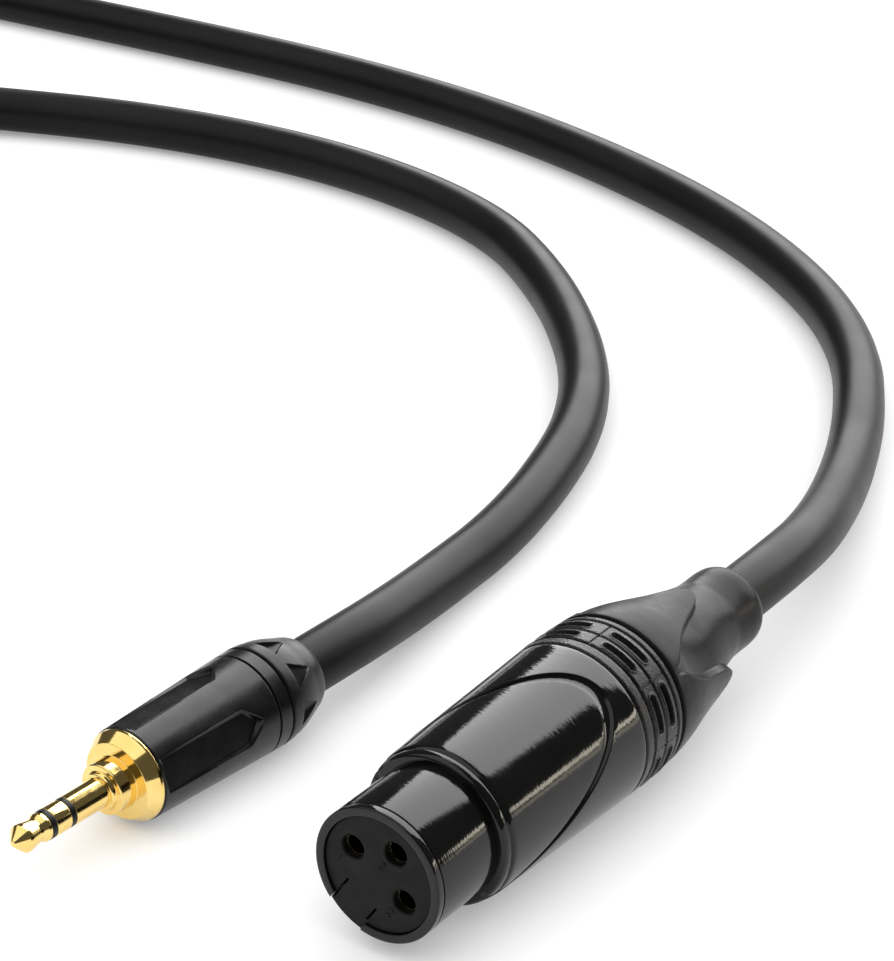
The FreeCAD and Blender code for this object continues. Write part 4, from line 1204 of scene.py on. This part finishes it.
@dataclass
class PlugShell(RingPiece):
    """Black metal shell of the plug, with four flat flutes that end in a chevron."""

    role: Role = Role("plug_shell", PLUG_PLACE, BLACK_METAL, Slot.PLUG_SHELL, Body.PLUG_SHELL, "trs_shell",
                      40.0)
    count: int = 4
    middle: float = -16.0
    columns: int = 72
    inside: tuple[Station, ...] = ((39.0, 4.55), (18.2, 4.55))
    front: float = 18.2
    end: float = 39.0
    radii: Station = (5.7, 6.4)
    line: Station = (36.8, 37.1)
    line_depth: float = 0.25
    line_edge: float = 0.1
    end_edge: float = 0.15
    half: float = 2.25
    flute: tuple[Station, ...] = ((-2.25, 18.55), (-2.25, 32.0), (0.0, 34.3), (2.25, 32.0), (2.25, 18.55))
    sink: float = 0.294
    sink_span: Station = (18.0, 31.0)
    edge: float = 0.3
    edge_share: float = 0.3
    stations: tuple[float, ...] = (
        18.2, 18.24, 18.28, 18.35, *steps(18.45, 36.6, 0.13), *steps(36.68, 37.2, 0.05),
        *steps(37.4, 38.8, 0.2), 38.86, 38.92, 38.96, 39.0)

    def cone_r(self, t: float) -> float:
        """Radius of the shell before its flutes."""
        share = (t - self.front) / (self.end - self.front)
        return self.radii[0] + (self.radii[1] - self.radii[0]) * share

    def skin_r(self, t: float, angle: float) -> float:
        """Radius of the shell's skin.

        Args:
            t: Distance from the front end.
            angle: Angle from the middle of a flute.

        Returns:
            The radius.
        """
        turned = math.radians(angle)
        cone = self.cone_r(t)
        start, end = self.line
        half_edge = self.line_edge / 2
        line = ease((t - start + half_edge) / self.line_edge) * ease((end + half_edge - t) / self.line_edge)
        near_end = min(t - self.front, self.end - t)
        r = cone - self.line_depth * line - self.end_edge * (1 - ease(near_end / self.end_edge))
        inside = within(self.flute, cone * math.sin(turned), t)
        begin, full = self.sink_span
        sink = self.sink * min(1.0, max(0.0, (t - begin) / (full - begin)))
        floor = (math.sqrt(cone ** 2 - self.half ** 2) - sink) / math.cos(turned)
        return r - max(0.0, r - floor) * ease(inside / self.edge + self.edge_share)


@dataclass
class PlugCap(RingPiece):
    """Black rear cap of the plug, with eight notches round its shoulder."""

    role: Role = Role("plug_cap", PLUG_PLACE, CAP_BLACK, Slot.PLUG_CAP, Body.PLUG_SHELL, "trs_cap", 40.0)
    count: int = 8
    middle: float = 5.0
    columns: int = 44
    inside: tuple[Station, ...] = ((47.2, 3.75), (36.5, 3.75), (36.5, 4.5), (39.25, 4.5))
    notch: tuple[Station, ...] = ((-1.5, 41.0), (0.0, 44.3), (1.5, 41.0))
    notch_r: float = 6.0
    floor_r: float = 5.5
    edge: float = 0.14
    edge_share: float = 0.3
    stations: tuple[float, ...] = (
        39.25, 39.27, 39.3, 39.34, 39.4, *steps(39.6, 40.8, 0.2), *steps(40.86, 41.3, 0.055),
        *steps(41.4, 44.7, 0.11), *steps(44.9, 46.5, 0.2), 46.7, 46.85, 46.95, 47.05, 47.13, 47.2)
    skin: SmoothLine = SmoothLine((
        (39.25, 6.25), (39.3, 6.35), (39.4, 6.4), (40.3, 6.36), (41.4, 6.24), (42.6, 6.0), (43.7, 5.68),
        (44.8, 5.28), (45.8, 4.95), (46.5, 4.68), (46.9, 4.42), (47.1, 4.18), (47.2, 3.95)))

    def skin_r(self, t: float, angle: float) -> float:
        """Radius of the cap's skin.

        Args:
            t: Distance from the front end.
            angle: Angle from the middle of a notch.

        Returns:
            The radius.
        """
        turned = math.radians(angle)
        r = self.skin.at(t)
        inside = within(self.notch, self.notch_r * math.sin(turned), t)
        floor = self.floor_r / math.cos(turned)
        return r - max(0.0, r - floor) * ease(inside / self.edge + self.edge_share)


@dataclass
class Cable:
    """The lead's cable: two legs as they lie in the picture and the rest in a tied coil."""

    radius: float = 3.6
    floor_z: float = 3.65
    upper_z: float = 10.9
    length_m: float = 1.82
    exit: tuple[float, float, float] = (0.0, 34.0, 10.13)
    socket_leg: tuple[Corner, ...] = (
        (0.0, 34.0, 10.13), (0.0, 46.5, 10.13), (-2.15, 60.3, 8.3), (-7.0, 75.1, 5.8), (-12.15, 88.4, 4.1),
        (-18.2, 102.0, 3.65), (-27.7, 118.6, 3.65), (-41.7, 133.8, 3.65), (-62.5, 148.2, 3.65),
        (-88.5, 159.6, 3.65), (-120.8, 168.1, 3.65), (-156.4, 171.5, 3.65), (-194.1, 170.0, 3.65),
        (-232.6, 167.1, 3.65))
    plug_leg: tuple[Corner, ...] = (
        (-36.41, -3.7, 6.4), (-35.77, 7.08, 6.4), (-36.65, 18.2, 5.2), (-38.25, 31.0, 3.9),
        (-39.2, 44.3, 3.65), (-42.3, 59.7, 3.65), (-48.1, 77.9, 3.65), (-58.6, 95.5, 3.65),
        (-76.6, 114.6, 3.65), (-98.6, 130.6, 3.65), (-130.6, 137.7, 3.65), (-165.8, 134.8, 3.65),
        (-197.6, 123.2, 3.9), (-215.6, 108.5, 6.2), (-231.1, 93.5, 10.0))
    coil_centre: Station = (-275.6, 115.6)
    coil_r: float = 48.9
    pitch: float = 7.3
    first_angle: float = 86.0
    turns: float = 4.6333
    turn_points: int = 16
    lower_turns: float = 2.3
    climb_turns: float = 0.25
    tie_angle: float = 208.5
    tie_thick: float = 0.8
    tie_width: float = 12.0
    tie_clearing: float = 20.0
    tie_box: tuple[float, float, float, float] = (28.35, 52.55, 0.45, 14.9)
    tie_bend: float = 2.6
    tie_bend_steps: int = 8
    bevel_steps: int = 10

    def coil_points(self) -> list[Corner]:
        """Control points of the coil: in on the first layer, up, and out again on the second."""
        bulge = (1 + math.cos(math.pi / self.turn_points) ** 2) / 2
        count = round(self.turns * self.turn_points)
        points = []
        for i in range(count + 1):
            done = self.turns * i / count
            climb = ease((done - self.lower_turns) / self.climb_turns)
            r = self.coil_r - self.pitch * min(done, self.lower_turns)
            r += self.pitch * max(0.0, done - self.lower_turns - self.climb_turns)
            angle = self.first_angle + FULL_TURN * done
            away = abs((angle - self.tie_angle + FULL_TURN / 2) % FULL_TURN - FULL_TURN / 2)
            z = self.floor_z + (self.upper_z - self.floor_z) * climb
            z += self.tie_thick * ease(2 - away / self.tie_clearing)
            turned = math.radians(angle)
            points.append((self.coil_centre[0] + r / bulge * math.cos(turned),
                           self.coil_centre[1] + r / bulge * math.sin(turned), z))
        return points

    def build_cord(self) -> Object:
        """Build the whole cable as one spline and tie it to the frame."""
        points = [*self.socket_leg, *self.coil_points(), *reversed(self.plug_leg)]
        curve = bpy.data.curves.new("cable", "CURVE")
        curve.dimensions = "3D"
        curve.bevel_depth = self.radius * MM
        curve.bevel_resolution = self.bevel_steps
        curve.resolution_u = self.bevel_steps
        curve.use_fill_caps = True
        spline = curve.splines.new("NURBS")
        spline.points.add(len(points) - 1)
        for target, point in zip(spline.points, points):
            target.co = (*(value * MM for value in point), 1.0)
        spline.order_u = 3
        spline.use_endpoint_u = True
        curve.materials.append(JACKET.material())
        cord = bpy.data.objects.new("cable", curve)
        bpy.context.scene.collection.objects.link(cord)
        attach(cord, Body.ROOT.value)
        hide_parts("cable_run_xlr", "cable_run_plug", "cable_coil")
        LOG.info("cable: %d control points", len(points))
        return cord

    def build_tie(self) -> Object:
        """Build the strap round the coil."""
        inner, outer, low, top = self.tie_box
        bend = self.tie_bend
        path = rounded([(inner, low, bend), (outer, low, bend), (outer, top, bend), (inner, top, bend)],
                       self.tie_bend_steps)
        wide = self.tie_width / 2
        thick = self.tie_thick / 2
        section = rounded([(-wide, -thick, thick), (wide, -thick, thick), (wide, thick, thick),
                           (-wide, thick, thick)], 3)
        columns = []
        for k, (a, b) in enumerate(path):
            along = (Vector(path[(k + 1) % len(path)]) - Vector(path[k - 1])).normalized()
            columns.append([Vector((a + along.y * rise, across, b - along.x * rise))
                            for across, rise in section])
        mesh = grid_mesh(columns, True)
        tidy_mesh(mesh)
        mesh.transform(Matrix.Rotation(math.radians(self.tie_angle), 4, "Z"))
        made = show("coil_strap", mesh)
        place = Placement((*self.coil_centre, 0.0))
        return complete(made, place, (TIE_FABRIC,), Body.ROOT, ["coil_tie"])


@dataclass
class InnerPieces:
    """Small pieces that the frame already holds in their right shape; they only get their finish."""

    groups: tuple[tuple[Finish, Slot, tuple[str, ...]], ...] = (
        # The socket's contacts take the gold that is darkened with painted shade of their holes.
        (SHADED_CONTACT_GOLD, Slot.CONTACT, ("xlr_contact_1", "xlr_contact_2", "xlr_contact_3")),
        (STEEL, Slot.SPRING, ("xlr_ground_tab", "xlr_latch_pin", "xlr_latch_spring")),
        (LATCH_BLACK, Slot.LATCH, ("xlr_latch",)),
        (CLAMP_GREY, Slot.CLAMP, ("xlr_chuck",)),
        (JACKET, Slot.JACKET, ("xlr_cable_tail", "trs_cable_tail")),
        (RED_CORE, Slot.RED_CORE, ("xlr_wire_hot", "trs_wire_tip")),
        (WHITE_CORE, Slot.WHITE_CORE, ("xlr_wire_cold", "trs_wire_ring")),
        (COPPER, Slot.COPPER, ("xlr_shield_braid", "trs_shield")),
        (SATIN_GOLD, Slot.GOLD, ("trs_ground_clamp", "trs_ring_lug", "trs_tip_lug")),
        (INSULATOR, Slot.INSULATOR, ("trs_rear_washer",)),
        (LINER_BROWN, Slot.LINER, ("trs_liner",)))
    edge: float = 0.08
    edge_steps: int = 2
    sharp: float = 40.0

    def dress(self, node: Object, finish: Finish) -> None:
        """Give a node its finish and slightly rounded edges.

        Args:
            node: The node.
            finish: Its finish.
        """
        node.data.materials.clear()
        node.data.materials.append(finish.material())
        weld = node.modifiers.new("weld", "WELD")
        weld.merge_threshold = JOIN * MM
        bevel = node.modifiers.new("edge", "BEVEL")
        bevel.width = self.edge * MM
        bevel.segments = self.edge_steps
        bevel.angle_limit = math.radians(self.sharp)
        node.data.shade_smooth()
        LOG.info("%s: %s", node.name, finish.name)

    def build(self, nodes: dict[str, Object]) -> list[Object]:
        """Dress every inner piece.

        Args:
            nodes: The frame's nodes by name.

        Returns:
            The plug's inner pieces, which lie at the cable's far end.
        """
        plug = []
        for finish, slot, names in self.groups:
            for name in names:
                self.dress(nodes[name], finish)
                if name.startswith("trs_"):
                    plug.append(nodes[name])
        return plug


@dataclass(frozen=True)
class Lamp:
    """A rectangular soft lamp, in metres; level is how bright its face is, where 1 is white."""

    name: str
    place: Corner
    target: Corner
    size: Station
    level: float
    tint: Colour = (1.0, 1.0, 1.0)
    mirrored: bool = True


@dataclass
class Studio:
    """Camera, pale floor and soft lights."""

    eye: tuple[float, float, float] = (0.1766, -0.27614, 0.2067)
    forward: tuple[float, float, float] = (-0.5107, 0.7321, -0.4506)
    up: tuple[float, float, float] = (-0.2577, 0.3695, 0.8924)
    lens: float = 127.87
    floor_half: float = 8.0
    floor_colour: Colour = (0.8, 0.8, 0.8)
    floor_lift: float = 0.3
    world_level: float = 0.1
    nearest_view: float = 0.01
    lamp_gain: float = 4.0
    lamps: tuple[Lamp, ...] = (
        Lamp("soft_box", (-0.115, 1.0, 0.97), (-0.115, 0.0, 0.97), (1.47, 1.6), 4.4),
        Lamp("low_strip", (0.9, 0.95, 0.17), (0.0, 0.0, 0.0), (0.42, 0.09), 7.5, (1.0, 0.92, 0.76)),
        Lamp("low_glow", (0.9, 0.95, 0.05), (0.0, 0.0, 0.0), (0.5, 0.08), 2.5, (1.0, 0.92, 0.76)),
        Lamp("ceiling", (-0.5, -0.6, 1.4), (0.0, 0.0, 0.0), (2.4, 2.2), 0.95),
        Lamp("top_fill", (0.5, 0.35, 2.0), (0.5, 0.35, 0.0), (6.0, 6.0), 1.15, mirrored=False))

    def place_camera(self) -> None:
        """Make the camera at the picture's viewing angle."""
        data = bpy.data.cameras.new("camera")
        data.lens = self.lens
        data.clip_start = self.nearest_view
        camera = bpy.data.objects.new("camera", data)
        forward = Vector(self.forward).normalized()
        right = forward.cross(Vector(self.up)).normalized()
        up = right.cross(forward)
        rotation = Matrix((right, up, -forward)).transposed()
        camera.matrix_world = Matrix.Translation(Vector(self.eye)) @ rotation.to_4x4()
        bpy.context.scene.collection.objects.link(camera)
        bpy.context.scene.camera = camera

    def lay_floor(self) -> None:
        """Make the pale floor, white to the camera and in reflections, with the object's shadow."""
        half = self.floor_half
        mesh = bpy.data.meshes.new("floor")
        mesh.from_pydata([(-half, -half, 0), (half, -half, 0), (half, half, 0), (-half, half, 0)], [],
                         [(0, 1, 2, 3)])
        floor = show("floor", mesh)
        material = bpy.data.materials.new("floor")
        material.use_nodes = True
        material.node_tree.nodes.clear()
        wiring = Wiring(material.node_tree)
        paths = wiring.add("ShaderNodeLightPath").outputs
        seen: object = paths["Is Camera Ray"]
        for ray in ("Is Glossy Ray", "Is Transmission Ray"):
            seen = wiring.add("ShaderNodeMath", {0: seen, 1: paths[ray]}, operation="MAXIMUM")
        lift = wiring.add("ShaderNodeMath", {0: seen, 1: self.floor_lift}, operation="MULTIPLY")
        glow = wiring.add("ShaderNodeEmission", {"Strength": lift})
        matt = wiring.add("ShaderNodeBsdfDiffuse", {"Color": (*self.floor_colour, 1.0)})
        added = wiring.add("ShaderNodeAddShader", {0: matt, 1: glow})
        wiring.add("ShaderNodeOutputMaterial", {"Surface": added})
        mesh.materials.append(material)

    def hang(self, lamp: Lamp) -> None:
        """Hang a lamp that either shows in glossy surfaces or only fills the matt ones.

        Args:
            lamp: The lamp.
        """
        data = bpy.data.lights.new(lamp.name, "AREA")
        data.shape = "RECTANGLE"
        data.size, data.size_y = lamp.size
        data.energy = self.lamp_gain * data.size * data.size_y * lamp.level
        data.color = lamp.tint
        light = bpy.data.objects.new(lamp.name, data)
        place = Vector(lamp.place)
        turned = (Vector(lamp.target) - place).to_track_quat("-Z", "Y")
        light.matrix_world = Matrix.Translation(place) @ turned.to_matrix().to_4x4()
        light.visible_camera = False
        light.visible_glossy = lamp.mirrored
        light.visible_diffuse = not lamp.mirrored
        bpy.context.scene.collection.objects.link(light)

    def set_world(self) -> None:
        """Fill the room with an even soft light."""
        world = bpy.data.worlds.new("room")
        world.use_nodes = True
        background = world.node_tree.nodes["Background"]
        background.inputs["Color"].default_value = (1.0, 1.0, 1.0, 1.0)
        background.inputs["Strength"].default_value = self.world_level
        bpy.context.scene.world = world

    def build(self) -> None:
        """Build the whole studio."""
        self.place_camera()
        self.lay_floor()
        self.set_world()
        for lamp in self.lamps:
            self.hang(lamp)
        bpy.context.scene.view_settings.view_transform = "Standard"


def main() -> None:
    """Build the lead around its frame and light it."""
    logging.basicConfig(level=logging.INFO, format="%(message)s")
    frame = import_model()
    Studio().build()
    cable = Cable()
    cord = cable.build_cord()
    strap = cable.build_tie()
    ring = SectorRing()
    SocketShell().build()
    carrier = ContactCarrier()
    carrier.build()
    carrier.build_numbers()
    BootCollar(ring).build()
    BootSleeve(ring).build()
    plug = PlugContacts().build()
    plug.append(PlugShell(ring).build())
    plug.append(PlugCap(ring).build())
    plug += InnerPieces().build(frame["nodes"])


if __name__ == "__main__":
    main()
